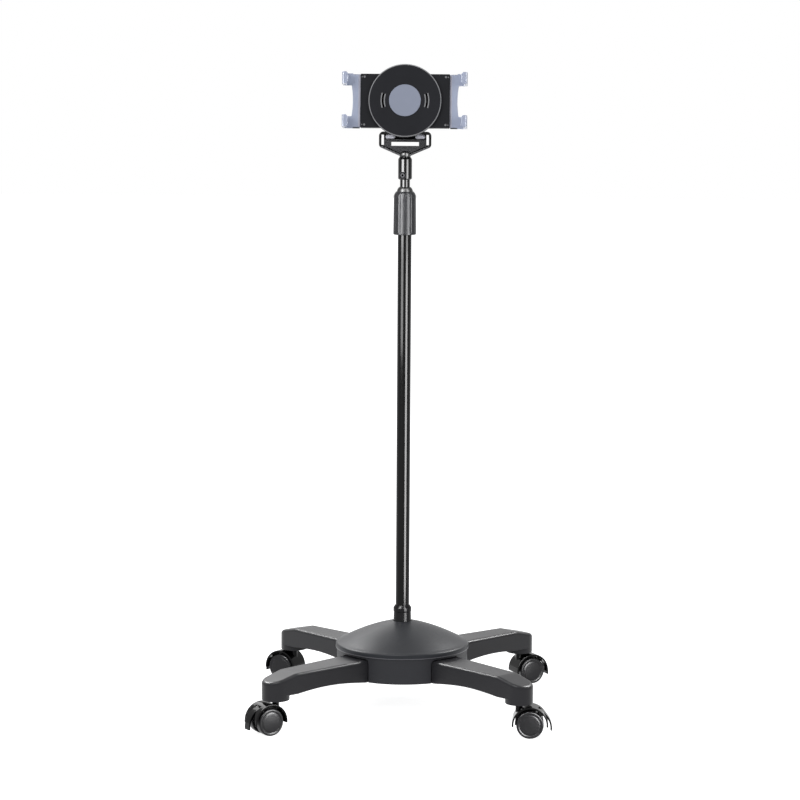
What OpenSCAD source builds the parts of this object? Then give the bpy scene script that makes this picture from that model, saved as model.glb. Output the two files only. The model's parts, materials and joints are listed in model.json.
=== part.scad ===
// Adjustable floor stand for a tablet: rolling four-leg base, telescopic pole, tilting and turning holder.
// Millimetres, +Z up, origin on the floor under the pole, the tablet faces -Y.

/* [Legs] */
// Radius of the circle through the four caster stems
stem_circle_r = 270; // [230:5:340]
// Width of a leg where it leaves the hub
leg_root_w = 58; // [46:1:64]
// Radius of the rounded leg end about its stem
leg_tip_r = 22; // [18:0.5:26]
// Height of the leg's top inside the hub
leg_top_z = 96; // [90:1:110]
// Fall of the leg's top from the hub to the crease
leg_top_drop = 1.5; // [0:0.5:6]
// Distance from the stem back to the crease in the top
leg_crease_back = 27; // [20:1:40]
// Slope of the tip beyond the crease
leg_tip_slope = 13; // [4:1:18]
// Rise of the arch under the leg
leg_arch = 6; // [0:0.5:12]
// Part of a half wave that the arch runs through, in degrees
leg_arch_sweep = 165; // [120:5:180]
// Radius of the leg's top edges
leg_edge_r = 5.5; // [2:0.5:8]
// Wall of the leg and of the ribs in its underside
leg_wall = 3; // [2:0.5:5]
// Radius at which a leg ends inside the hub
leg_root_r = 46; // [45:1:56]
// Drop of the caster boss below the hub's lower edge
leg_boss_drop = 7; // [3:0.5:10]

/* [Hub] */
// Radius of the hub's skirt
hub_r = 106; // [96:1:120]
// Height of the hub's lower edge
hub_under_z = 60; // [58:0.5:66]
// Wall of the skirt
skirt_wall = 3; // [2:0.5:5]
// Plate that the legs hang from
hub_plate_t = 4; // [3:0.5:8]
// Radius of the boss around the pole
hub_boss_r = 20; // [16:0.5:26]
// Overhang of the dome's rim past the skirt
rim_over = 2.2; // [1:0.2:5]
// Height of the rim above the leg tops
rim_rise = 9; // [8:0.5:14]
// Height of the dome from rim to collar
dome_h = 38.5; // [25:0.5:60]
// Bulge of the dome's slope past a straight cone
dome_bulge = 3.6; // [0:0.2:8]
// Wall of the dome
dome_wall = 2.5; // [1.5:0.5:4]
// Height of the rounding at the rim
rim_round = 5; // [3:0.5:7]

/* [Pole] */
// Outside diameter of the fixed tube
tube_od = 22.2; // [20:0.2:25.4]
// Wall of the fixed tube
tube_wall = 1.4; // [1:0.1:1.6]
// Height of the fixed tube's top end
tube_top_z = 800; // [650:10:1000]
// Outside diameter of the collar on the dome
collar_od = 29.5; // [27:0.5:33]
// Height of the collar above the boss
collar_h = 32; // [20:1:50]
// Height of the lip at the collar's top
collar_lip_h = 10; // [6:0.5:14]
// Draw-in of the collar below its lip
collar_waist = 0.6; // [0:0.1:1.2]
// Chamfer at the collar's top
collar_chamfer = 3; // [1:0.5:3]
// Outside diameter of the sliding rod
rod_od = 15.9; // [14:0.1:16.2]
// Wall of the sliding rod
rod_wall = 1.5; // [1:0.1:3]
// Height that the rod can be raised
mast_travel = 420; // [200:10:450]
// Length of rod left in the tube when raised
mast_overlap = 105; // [80:5:150]

/* [Clutch] */
// Length of the clutch grip
grip_h = 69; // [60:1:90]
// Length of the grip below the tube's top end
grip_below = 28; // [20:1:36]
// Diameter of the grip at its lower end
grip_d_low = 36.9; // [36:0.1:42]
// Diameter of the grip at its upper end
grip_d_high = 35.6; // [35:0.1:41]
// Height of the rounded shoulder of the grip
grip_shoulder = 8; // [4:0.5:12]
// Flutes around the grip
flute_count = 12; // [8:1:16]
// Depth of a flute
flute_depth = 0.6; // [0.2:0.1:1]
// Radius of a flute
flute_r = 5; // [3:0.5:8]
// Height of the cap above the grip
cap_h = 8.5; // [5:0.5:14]
// Diameter of the cap's foot
cap_d_low = 25.8; // [24:0.2:27]
// Diameter of the cap's crown
cap_d_high = 19.4; // [18.6:0.2:22]

/* [Coupler] */
// Length of bare rod between the cap and the coupler
rod_show = 10.5; // [6:0.5:40]
// Outside diameter of the coupler
coupler_od = 22.2; // [20:0.2:26]
// Length of the coupler
coupler_h = 35.6; // [30:0.2:50]
// Depth of the rod's socket in the coupler
coupler_socket = 18; // [14:1:20]
// Chamfer of the coupler's ends
coupler_chamfer = 1.6; // [0.5:0.1:2.5]
// Height of the set screw above the coupler's foot
set_screw_up = 7; // [6:0.5:9]
// Diameter of the set screw
set_screw_d = 6; // [4:0.5:7]

/* [Yoke] */
// Diameter of the yoke's stem
stem_d = 16; // [14:0.2:17]
// Height of the tilt axle above the coupler
tilt_rise = 32.4; // [31:0.2:40]
// Width of the yoke
yoke_w = 83.4; // [78:0.2:100]
// Thickness of the yoke
yoke_t = 9; // [7:0.5:12]
// Width of the yoke's outer bars
yoke_bar = 3.8; // [3:0.2:7]
// Height of the yoke above the tilt axle
yoke_up = 8.3; // [8:0.1:12]
// Drop of the yoke's lower corners below the tilt axle
yoke_corner_drop = 16; // [15:0.5:20]
// Width of the slits beside the tongue
yoke_slit = 4; // [1.5:0.1:5]
// Depth of the panel's faces behind the yoke's rim
yoke_recess = 1.4; // [0.4:0.1:2.5]
// Width of the rim along the yoke's lower edges
yoke_rim = 3; // [2:0.2:5]
// Width of the slot through the tongue
yoke_slot_w = 44; // [30:1:56]
// Height of the slot through the tongue
yoke_slot_h = 6.2; // [5:0.2:6.4]
// Diameter of the tilt axle
tilt_axle_d = 4; // [3:0.2:4.4]
// Diameter of the bushes and of the bracket's barrel on the axle
tilt_bush_d = 7; // [6.4:0.1:7.2]
// Width of the bracket's barrel
knuckle_w = 32; // [24:1:40]
// Length of a bush
tilt_bush_l = 15; // [10:0.5:16]

/* [Holder] */
// Lean of the holder at rest
lean = 8; // [0:1:20]
// Distance from the tilt axle up to the disc's centre
disc_rise = 54.4; // [54:0.2:66]
// Distance from the tilt axle forward to the bracket plate
bracket_off = 10.5; // [10:0.5:14]
// Thickness of the bracket plate
bracket_t = 3; // [2:0.5:4]
// Radius of the bracket's round top
bracket_r = 28; // [22:1:32]
// Diameter of the swivel rivet
swivel_d = 12; // [8:0.5:14]
// Width of the cradle
cradle_w = 142; // [130:1:170]
// Height of the cradle
cradle_h = 85.4; // [82:0.2:86]
// Wall of the cradle tray
tray_wall = 2.5; // [1.5:0.5:3]
// Depth inside the cradle tray
tray_depth = 6.2; // [5.8:0.1:9]
// Thickness of the cradle's front plate
front_t = 3; // [2:0.5:5]
// Corner radius of the cradle
cradle_corner = 1.5; // [1:0.5:8]
// Diameter of the disc
disc_d = 115.8; // [100:0.2:116]
// Thickness of the disc
disc_t = 7; // [6:0.5:10]
// Bevel at the disc's rim
disc_bevel = 2.5; // [1:0.5:4]
// Diameter of the rest pad
pad_d = 50.4; // [40:0.2:56]
// Thickness of the rest pad
pad_t = 1.2; // [0.8:0.1:3]
// Middle radius of the arc slots in the disc
arc_slot_r = 35.2; // [34:0.2:44]
// Width of the arc slots
arc_slot_w = 7; // [4:0.5:10]
// Half angle of the arc slots
arc_slot_half = 18; // [10:1:30]
// Depth of the arc slots
arc_slot_depth = 4; // [2:0.5:5]

/* [Arms] */
// Reach of the arm wings past the cradle at their corners
wing_reach = 18; // [14:0.5:30]
// Hollow in the outer edge of the wings
wing_hollow = 6; // [2:0.5:8]
// Height of the wings
wing_h = 84; // [78:1:85]
// Travel of each arm
arm_travel = 45; // [20:1:50]
// Height of a hook
hook_h = 19; // [12:0.5:22]
// Reach of a hook past the wing's corner
hook_reach = 10; // [8:0.5:14]
// Thickness of a hook
hook_t = 3.5; // [2.5:0.1:5]
// Room for the tablet between the pad and the hook lips
hook_room = 12.3; // [8:0.1:20]
// Width of a hook lip
hook_lip = 10; // [7:0.5:12]
// Cut across the corners of a hook lip
lip_cut = 3.5; // [0.5:0.5:5]
// Height of a guide bar
bar_h = 8; // [6:0.5:8.5]
// Distance of the guide bars from the cradle's long edges
bar_edge = 8.7; // [8.2:0.1:9.5]

/* [Rack and pinion] */
// Tooth module
rack_module = 1.5; // [1:0.1:1.8]
// Teeth of the pinion
pinion_teeth = 12; // [11:1:14]
// Pressure angle of the teeth
pressure_angle = 25; // [22:0.5:28]
// Height of the racks behind their teeth
rack_back = 6; // [4:0.5:6]
// Play between the flanks
backlash = 0.16; // [0.08:0.02:0.3]

/* [Casters] */
// Wheel diameter
wheel_d = 43; // [38:0.5:44]
// Width of a wheel
wheel_w = 12; // [9:0.5:15]
// Room between the two wheels of a caster
wheel_room = 12.6; // [12.4:0.2:16]
// Distance of the axle behind the stem
trail = 17.5; // [16:0.5:20]
// Room between the tread and the hood
hood_room = 1.7; // [1:0.1:2.5]
// Wall of the hood
hood_wall = 2.3; // [1.5:0.1:3]
// Diameter of the wheel axle
axle_d = 5; // [4:0.5:6]
// Diameter of the caster stem
caster_stem_d = 7; // [6:0.5:8]
// Diameter of the neck around the stem
neck_d = 11; // [10:0.2:11.8]
// Outside diameter of the socket in the leg
socket_od = 14; // [12:0.5:17]
// Depth of the socket in the leg
socket_depth = 28; // [20:1:29]
// Width of the brake lever
lever_w = 14; // [12:0.5:18]
// Thickness of the brake lever
lever_t = 3; // [2:0.2:3.6]
// Direction of the front left caster
yaw_front_left = 215; // [0:1:359]
// Direction of the front right caster
yaw_front_right = 0; // [0:1:359]
// Direction of the back right caster
yaw_back_right = 25; // [0:1:359]
// Direction of the back left caster
yaw_back_left = 152; // [0:1:359]

/* [Fits] */
// Radial clearance of a running fit
fit = 0.05; // [0.02:0.01:0.1]
// Gap between pieces that move past each other
gap = 0.3; // [0.2:0.05:0.4]
// Gap between a leg and its notch in the hub
notch_gap = 1.6; // [0.4:0.1:2]
// Diameter of the leg bolts
leg_bolt_d = 6; // [4:0.5:8]
// Depth of the leg bolts below the top of a leg
leg_bolt_reach = 22; // [14:1:26]
// Distance of the inner leg bolts from the leg's root
leg_bolt_in = 14; // [10:1:20]
// Distance of the outer leg bolts from the hub's edge
leg_bolt_out = 18; // [14:1:24]
// Diameter of the pole bolt
pole_bolt_d = 8; // [6:0.5:10]
// Diameter of the cradle screws
cradle_screw_d = 2.6; // [2:0.2:3]
// Distance of the cradle screws from the cradle's ends
cradle_screw_in = 6.5; // [6:0.5:14]

/* [Hidden] */
$fn = 64;
leg_crease_r = stem_circle_r - leg_crease_back;
boss_z = hub_under_z - leg_boss_drop;
plate_top_z = leg_top_z + hub_plate_t;
rim_r = hub_r + rim_over;
rim_z = leg_top_z + rim_rise;
dome_top_z = rim_z + dome_h;
dome_hole_r = collar_od / 2 + 0.8;
boss_top_z = dome_top_z - dome_wall - 3.5;
tube_ir = tube_od / 2 - tube_wall;
tube_foot_z = hub_under_z + 6;
plug_h = 20;
rod_foot_z = tube_top_z - mast_overlap - mast_travel;
bush_h = 40;
grip_z = tube_top_z - grip_below;
grip_top_z = grip_z + grip_h;
core_r = grip_d_high / 2 - 2.8;
core_top_z = grip_top_z - 5;
cap_flange_r = core_r - 0.2;
cap_flange_t = 1.8;
cap_top_z = grip_top_z + cap_h;
coupler_z = cap_top_z + rod_show;
coupler_top_z = coupler_z + coupler_h;
rod_top_z = coupler_z + coupler_socket;
yoke_stem_z = rod_top_z + gap;
tilt_z = coupler_top_z + tilt_rise;
yoke_neck_drop = tilt_rise - 1.9;
tongue_drop = tilt_bush_d / 2 + 0.5;
yoke_inner = yoke_w / 2 - yoke_bar;
bracket_front = bracket_off + bracket_t;
washer_t = 0.5;
tray_n = bracket_front + washer_t + gap;
tray_floor = tray_n + tray_wall;
tray_rim = tray_floor + tray_depth;
front_n = tray_rim + front_t;
disc_n = front_n + disc_t;
pad_n = disc_n + pad_t;
bar_n0 = tray_floor + 0.4;
bar_n1 = tray_rim - 0.4;
rivet_head_n = tray_floor + gap + 1.8;
rack_n0 = rivet_head_n + 0.5;
pitch_r = rack_module * pinion_teeth / 2;
addendum = 0.8 * rack_module;
dedendum = 1.05 * rack_module;
tooth_pitch = PI * rack_module;
wing_x0 = cradle_w / 2 + 0.4;
wing_x1 = cradle_w / 2 + wing_reach;
hook_x1 = wing_x1 + hook_reach;
hook_n1 = pad_n + hook_room + hook_t;
hook_v1 = wing_h / 2 + 1.5;
hook_v0 = hook_v1 - hook_h;
wheel_r = wheel_d / 2;
bar_off = cradle_h / 2 - bar_edge - bar_h / 2;
hood_ri = wheel_r + hood_room;
hood_ro = hood_ri + hood_wall;
caster_half_w = wheel_room / 2 + wheel_w;
neck_top_z = boss_z - 1 - gap;
socket_top_z = boss_z + socket_depth;
lever_r0 = hood_ro - 0.6;
lever_spread = 0.13;
lever_start = 62;
lever_end = -17;
lever_pivot = [12.4, 12.4];
caster_yaw = [yaw_back_right, yaw_back_left, yaw_front_left, yaw_front_right];

// Ring between two radii from z0 to z1
module ring(ri, ro, z0, z1) {
    translate([0, 0, z0]) difference() {
        cylinder(r = ro, h = z1 - z0);
        translate([0, 0, -1]) cylinder(r = ri, h = z1 - z0 + 2);
    }
}

// Convex outline, given counter-clockwise, with a radius at each corner
module rounded_outline(p, r) {
    n = len(p);
    function toward(a, b) = (b - a) / norm(b - a);
    corner = [for (i = [0 : n - 1])
        let (u = toward(p[i], p[(i + n - 1) % n]), w = toward(p[i], p[(i + 1) % n]),
             half = acos(u * w) / 2, t = r[i] / tan(half))
        [p[i] + u * t, p[i] + w * t, p[i] + toward([0, 0], u + w) * r[i] / sin(half)]];
    polygon([for (c = corner) each [c[0], c[1]]]);
    for (i = [0 : n - 1]) translate(corner[i][2]) circle(r = r[i]);
}

module rounded_rect(w, h, r) {
    rounded_outline([[-w, -h] / 2, [w, -h] / 2, [w, h] / 2, [-w, h] / 2], [r, r, r, r]);
}

// Legs: closed rings of points around the leg's outline, from the underside up over the rounded edge

function leg_half(r) = r <= hub_r ? leg_root_w / 2
    : leg_root_w / 2 + (leg_tip_r - leg_root_w / 2) * (r - hub_r) / (stem_circle_r - hub_r);
function leg_share(r) = max(0, r - hub_r) / (leg_crease_r - hub_r);
function leg_top(r) = leg_top_z - leg_top_drop * min(1, leg_share(r))
    - tan(leg_tip_slope) * max(0, r - leg_crease_r);
function leg_under(r) = hub_under_z + leg_arch * sin(leg_arch_sweep * min(1, leg_share(r)));

leg_stations = concat(
    [leg_root_r], [for (i = [0 : 7]) hub_r + (leg_crease_r - hub_r) * i / 7], [stem_circle_r]);
leg_arc_steps = 16;
leg_edge_steps = 5;

function leg_outline(inset) = concat(
    [for (r = leg_stations) [r, inset - leg_half(r)]],
    [for (k = [1 : leg_arc_steps - 1]) let (a = 180 * k / leg_arc_steps - 90)
        [stem_circle_r, 0] + (leg_tip_r - inset) * [cos(a), sin(a)]],
    [for (i = [len(leg_stations) - 1 : -1 : 0]) let (r = leg_stations[i]) [r, leg_half(r) - inset]]);

module leg_loft() {
    edge = [for (k = [0 : leg_edge_steps]) 90 * k / leg_edge_steps];
    rings = concat(
        [[for (p = leg_outline(0)) [p[0], p[1], leg_under(p[0])]]],
        [for (a = edge) [for (p = leg_outline(leg_edge_r * (1 - cos(a))))
            [p[0], p[1], leg_top(p[0]) - leg_edge_r * (1 - sin(a))]]]);
    m = len(rings[0]);
    last = (len(rings) - 1) * m;
    half = floor(m / 2);
    sides = [for (j = [0 : len(rings) - 2]) for (i = [0 : m - 1]) let (k = (i + 1) % m, b = j * m)
        each [[b + i, b + m + i, b + m + k], [b + i, b + m + k, b + k]]];
    cap = [for (i = [0 : half - 1]) each
        i + 1 == m - 2 - i ? [[i, i + 1, m - 1 - i]]
        : i + 1 > m - 2 - i ? []
        : [[i, i + 1, m - 2 - i], [i, m - 2 - i, m - 1 - i]]];
    top = [for (f = cap) [last + f[2], last + f[1], last + f[0]]];
    polyhedron([for (ring = rings) each ring], concat(cap, sides, top), convexity = 4);
}

// Pockets between the ribs of the underside, from radius a to radius b
module leg_pocket(a, b, side) {
    rib = leg_wall / 2;
    wall = leg_wall + 0.5;
    translate([0, 0, boss_z - 1]) linear_extrude(leg_top(leg_crease_r) - leg_wall - 1 - boss_z)
        polygon([[a, side * rib], [b, side * rib], [b, side * (leg_half(b) - wall)],
                 [a, side * (leg_half(a) - wall)]]);
}

module leg(i) {
    inner = hub_r + 8;
    pitch = (leg_crease_r - 5 - inner) / 3;
    color([0.2, 0.2, 0.22]) rotate([0, 0, 45 + 90 * i]) difference() {
        union() {
            leg_loft();
            translate([stem_circle_r, 0, boss_z]) {
                cylinder(r1 = leg_tip_r - 1.9, r2 = leg_tip_r - 0.4, h = 1.5);
                translate([0, 0, 1.5]) cylinder(r = leg_tip_r - 0.4, h = leg_boss_drop + leg_arch + 2);
            }
        }
        for (k = [0 : 2], side = [-1, 1])
            leg_pocket(inner + pitch * k, inner + pitch * (k + 1) - leg_wall, side);
        for (r = leg_bolt_radii()) translate([r, 0, leg_top_z - leg_bolt_reach - 2])
            cylinder(d = leg_bolt_d + 2 * fit, h = leg_bolt_reach + 2 + leg_edge_r);
        translate([stem_circle_r, 0, boss_z - 1]) cylinder(d = socket_od + 2 * fit, h = socket_depth + 1 + fit);
    }
}

function leg_bolt_radii() = [leg_root_r + leg_bolt_in, hub_r - leg_bolt_out];

module leg_bolts() {
    color([0.6, 0.6, 0.62]) for (i = [0 : 3], r = leg_bolt_radii())
        rotate([0, 0, 45 + 90 * i]) translate([r, 0, 0]) {
            translate([0, 0, plate_top_z]) cylinder(d = leg_bolt_d * 1.8, h = leg_bolt_d * 0.65, $fn = 6);
            translate([0, 0, leg_top_z - leg_bolt_reach])
                cylinder(d = leg_bolt_d, h = leg_bolt_reach + hub_plate_t + 1);
        }
}

// Hub

module leg_notch(i) {
    w = leg_root_w + 2 * notch_gap;
    h = 2 * (leg_top_z + notch_gap - hub_under_z);
    rotate([0, 0, 45 + 90 * i]) translate([hub_r - skirt_wall - 12, 0, hub_under_z])
        rotate([90, 0, 90]) linear_extrude(skirt_wall + 20) rounded_rect(w, h, leg_edge_r + notch_gap);
}

module hub_body() {
    color([0.2, 0.2, 0.22]) difference() {
        union() {
            ring(hub_r - skirt_wall, hub_r, hub_under_z, plate_top_z);
            translate([0, 0, leg_top_z]) cylinder(r = hub_r - 1, h = hub_plate_t);
            translate([0, 0, hub_under_z]) cylinder(r = hub_boss_r, h = boss_top_z - hub_under_z);
            for (i = [0 : 3]) rotate([0, 0, 90 * i]) translate([hub_boss_r - 2, -leg_wall / 2, hub_under_z + 8])
                cube([hub_r - hub_boss_r - skirt_wall / 2 + 1, leg_wall, leg_top_z - hub_under_z - 7]);
        }
        for (i = [0 : 3]) leg_notch(i);
        for (i = [0 : 3], r = leg_bolt_radii()) rotate([0, 0, 45 + 90 * i])
            translate([r, 0, leg_top_z - 1]) cylinder(d = leg_bolt_d + 0.6, h = hub_plate_t + 2);
        translate([0, 0, tube_foot_z]) cylinder(d = tube_od + 2 * fit, h = dome_top_z);
        translate([0, 0, hub_under_z - 1]) cylinder(d = pole_bolt_d + 0.6, h = 20);
    }
}

dome_edge_r = rim_r - rim_round;
dome_edge_z = rim_z + rim_round;
function dome_z(r) = let (t = (r - dome_hole_r) / (dome_edge_r - dome_hole_r))
    dome_top_z + (dome_edge_z - dome_top_z) * t + 4 * dome_bulge * t * (1 - t);
dome_profile = concat(
    [for (i = [0 : 12]) let (r = dome_hole_r + (dome_edge_r - dome_hole_r) * i / 12) [r, dome_z(r)]],
    [for (a = [25, 40, 55, 70, 90]) [dome_edge_r + rim_round * sin(a), rim_z + rim_round * cos(a)]]);

// The dome's shell, with a lip over the skirt and a foot ring standing on the hub plate
module hub_cover() {
    lip_r = hub_r + gap;
    foot_ro = hub_r - 6;
    foot_ri = foot_ro - dome_wall;
    under = [for (i = [12 : -1 : 0]) let (r = dome_hole_r + (foot_ri - dome_hole_r) * i / 12)
        [r, dome_z(r) - dome_wall]];
    color([0.25, 0.25, 0.28]) rotate_extrude($fn = 96)
        polygon(concat(
            dome_profile,
            [[rim_r, plate_top_z + 0.5], [lip_r, plate_top_z + 0.5], [lip_r, rim_z - 0.5],
             [foot_ro, dome_z(foot_ro) - dome_wall], [foot_ro, plate_top_z], [foot_ri, plate_top_z]],
            under));
}

module pole_collar() {
    bore = tube_od / 2 + fit;
    r = collar_od / 2;
    lip_z = collar_h - collar_lip_h;
    color([0.12, 0.12, 0.13]) translate([0, 0, boss_top_z]) rotate_extrude()
        polygon([[bore, 0], [r, 0], [r - collar_waist, lip_z - 2 * collar_waist], [r, lip_z],
                 [r, collar_h - collar_chamfer * 1.4], [r - collar_chamfer, collar_h], [bore, collar_h]]);
}

// Pole

module pole_tube() {
    color([0.05, 0.05, 0.05]) ring(tube_ir, tube_od / 2, tube_foot_z, tube_top_z);
}

module pole_plug() {
    color([0.5, 0.5, 0.52]) ring(pole_bolt_d / 2 + fit, tube_ir - fit, tube_foot_z, tube_foot_z + plug_h);
}

module pole_washer() {
    color([0.6, 0.6, 0.62]) ring(pole_bolt_d / 2 + 0.2, pole_bolt_d * 1.7, hub_under_z - 1.6, hub_under_z);
}

module pole_bolt() {
    color([0.6, 0.6, 0.62]) translate([0, 0, hub_under_z - 1.6]) {
        translate([0, 0, -pole_bolt_d * 0.65]) cylinder(d = pole_bolt_d * 1.8, h = pole_bolt_d * 0.65, $fn = 6);
        translate([0, 0, -1]) cylinder(d = pole_bolt_d, h = plug_h + 6);
    }
}

module mast_rod() {
    color([0.05, 0.05, 0.05]) ring(rod_od / 2 - rod_wall, rod_od / 2, rod_foot_z, rod_top_z);
}

module rod_bush() {
    color([0.75, 0.75, 0.72]) ring(rod_od / 2 + fit, tube_ir - fit, rod_foot_z, rod_foot_z + bush_h);
}

// Clutch

module clutch_core() {
    seat = tube_od / 2 + fit;
    color([0.15, 0.15, 0.16]) rotate_extrude()
        polygon([[seat, grip_z + 2], [core_r, grip_z + 2], [core_r, core_top_z - cap_flange_t - gap],
                 [rod_od / 2 + 3.6, core_top_z - cap_flange_t - gap], [rod_od / 2 + 3.6, tube_top_z + 2],
                 [tube_ir, tube_top_z + 2], [tube_ir, tube_top_z], [seat, tube_top_z]]);
}

module clutch_collet() {
    foot = tube_top_z + 2;
    top = core_top_z - cap_flange_t - gap;
    color([0.8, 0.8, 0.78]) difference() {
        ring(rod_od / 2 + fit, rod_od / 2 + 3.6 - fit, foot, top);
        for (a = [90, 210, 330]) rotate([0, 0, a]) translate([0, -0.8, foot + 5])
            cube([rod_od, 1.6, top - foot]);
    }
}

module clutch_grip() {
    rl = grip_d_low / 2;
    rh = grip_d_high / 2;
    bore = core_r + gap;
    neck = cap_d_low / 2 + 0.2;
    ledge = core_top_z;
    shoulder = grip_h - grip_shoulder;
    taper = atan((rl - rh) / shoulder);
    arc = [for (a = [0 : 15 : 90]) [neck + (rh - neck) * cos(a), shoulder + grip_shoulder * sin(a)]];
    color([0.5, 0.5, 0.52]) translate([0, 0, grip_z]) difference() {
        rotate_extrude($fn = 96) polygon(concat(
            [[bore, 0], [rl - 1, 0], [rl, 1.2]], arc, [[neck, ledge - grip_z], [bore, ledge - grip_z]]));
        for (k = [0 : flute_count - 1]) rotate([0, 0, 360 * (k + 0.5) / flute_count])
            translate([rl + flute_r - flute_depth, 0, 5]) rotate([0, -taper, 0])
                cylinder(r = flute_r, h = grip_h - grip_shoulder - 4);
    }
}

module clutch_cap() {
    bore = rod_od / 2 + gap + 0.2;
    low = cap_d_low / 2;
    high = cap_d_high / 2;
    color([0.04, 0.04, 0.04]) rotate_extrude()
        polygon(concat(
            [[bore, core_top_z - cap_flange_t], [cap_flange_r, core_top_z - cap_flange_t],
             [cap_flange_r, core_top_z], [low, core_top_z]],
            [for (a = [0 : 15 : 90]) [high + (low - high) * cos(a), grip_top_z + cap_h * sin(a)]],
            [[bore, cap_top_z]]));
}

// Coupler and yoke

set_screw_turn = -110;

module coupler() {
    rod_bore = rod_od / 2 + fit;
    stem_bore = stem_d / 2 + fit;
    r = coupler_od / 2;
    c = coupler_chamfer;
    color([0.04, 0.04, 0.04]) difference() {
        translate([0, 0, coupler_z]) rotate_extrude()
            polygon([[rod_bore, 0], [r - c, 0], [r, c], [r, coupler_h - 2 * c], [r - 1.2 * c, coupler_h],
                     [stem_bore, coupler_h], [stem_bore, coupler_socket], [rod_bore, coupler_socket]]);
        translate([0, 0, coupler_z + set_screw_up]) rotate([0, 90, set_screw_turn])
            cylinder(d = set_screw_d + 2 * fit, h = coupler_od);
    }
}

module coupler_screw() {
    color([0.3, 0.3, 0.32]) translate([0, 0, coupler_z + set_screw_up]) rotate([0, 90, set_screw_turn])
        translate([0, 0, rod_od / 2 + fit]) difference() {
            cylinder(d = set_screw_d, h = coupler_od / 2 - rod_od / 2 - 0.6);
            translate([0, 0, 1]) cylinder(d = set_screw_d * 0.55, h = coupler_od, $fn = 6);
        }
}

module yoke_outline() {
    w = yoke_w / 2;
    n = stem_d / 2;
    rounded_outline([[-n, -yoke_neck_drop], [n, -yoke_neck_drop], [w, -yoke_corner_drop], [w, yoke_up],
                     [-w, yoke_up], [-w, -yoke_corner_drop]], [1, 1, 6, 7, 7, 6]);
}

// Face of the panel inside the rim
module yoke_panel() {
    n = stem_d / 2;
    slope = atan((yoke_neck_drop - yoke_corner_drop) / (yoke_w / 2 - n));
    rise = yoke_rim / cos(slope);
    side = rise - yoke_corner_drop - yoke_bar * tan(slope);
    up = yoke_up - yoke_bar;
    polygon([[-n, rise - yoke_neck_drop], [n, rise - yoke_neck_drop], [yoke_inner, side], [yoke_inner, up],
             [-yoke_inner, up], [-yoke_inner, side]]);
}

module yoke_openings() {
    slit_drop = yoke_corner_drop - 3;
    inner_up = yoke_up - yoke_bar;
    tongue = yoke_inner - yoke_slit;
    slot_z = -tongue_drop - 4.1 - yoke_slot_h;
    difference() {
        translate([-yoke_inner, -slit_drop]) square([2 * yoke_inner, slit_drop + inner_up]);
        translate([-tongue, -slit_drop - 1]) square([2 * tongue, slit_drop + 1 - tongue_drop]);
    }
    translate([-yoke_slot_w / 2, slot_z]) square([yoke_slot_w, yoke_slot_h]);
    translate([-knuckle_w / 2 - 2 * gap, 0]) square([knuckle_w + 4 * gap, yoke_up + 1]);
}

module yoke() {
    stem_top_z = coupler_top_z + 0.7;
    color([0.15, 0.15, 0.16]) {
        translate([0, 0, tilt_z]) difference() {
            translate([0, yoke_t / 2, 0]) rotate([90, 0, 0]) linear_extrude(yoke_t) yoke_outline();
            translate([0, yoke_t / 2 + 5, 0]) rotate([90, 0, 0]) linear_extrude(yoke_t + 10) yoke_openings();
            for (s = [-1, 1]) translate([0, s * yoke_t / 2 + yoke_recess, 0])
                rotate([90, 0, 0]) linear_extrude(2 * yoke_recess) yoke_panel();
            translate([-yoke_w, 0, 0]) rotate([0, 90, 0]) cylinder(d = tilt_axle_d + 2 * fit, h = 2 * yoke_w);
        }
        translate([0, 0, yoke_stem_z]) cylinder(d = stem_d, h = stem_top_z - yoke_stem_z);
        translate([0, 0, stem_top_z]) sphere(d = stem_d);
    }
}

module tilt_axle() {
    l = yoke_w - 0.6;
    color([0.6, 0.6, 0.62]) translate([-l / 2, 0, tilt_z]) rotate([0, 90, 0]) cylinder(d = tilt_axle_d, h = l);
}

module tilt_bushes() {
    color([0.68, 0.7, 0.78]) for (s = [0, 1]) mirror([s, 0, 0])
        translate([knuckle_w / 2 + 2 * gap, 0, tilt_z]) rotate([0, 90, 0]) rotate_extrude() bush_outline();
}

// Bush in radius and length: a pill with round ends and a slim spacer out to the yoke's bar
module bush_outline() {
    bore = tilt_axle_d / 2 + fit;
    spacer = tilt_axle_d / 2 + 0.8;
    nose = tilt_bush_d / 2 - spacer;
    end = yoke_inner - knuckle_w / 2 - 3 * gap;
    arc = [for (a = [0 : 22.5 : 90]) nose * [sin(a), cos(a)]];
    polygon(concat(
        [[bore, 0]],
        [for (p = arc) [spacer + p[0], nose - p[1]]],
        [for (i = [len(arc) - 1 : -1 : 0]) [spacer + arc[i][0], tilt_bush_l - nose + arc[i][1]]],
        [[spacer, end], [bore, end]]));
}

// Holder: local x to the right, v up along the disc, n out of the disc towards the tablet

module holder_frame() {
    translate([0, 0, tilt_z]) rotate([-lean, 0, 0]) children();
}

// Outline in x and v extruded from depth n0 to n1
module slab(n0, n1) {
    translate([0, -n0, 0]) rotate([90, 0, 0]) linear_extrude(n1 - n0) children();
}

// Outline in radius and n revolved about the disc's axis
module turned() {
    translate([0, 0, disc_rise]) rotate([90, 0, 0]) rotate_extrude($fn = 96) children();
}

module at_disc() {
    translate([0, disc_rise]) children();
}

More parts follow.
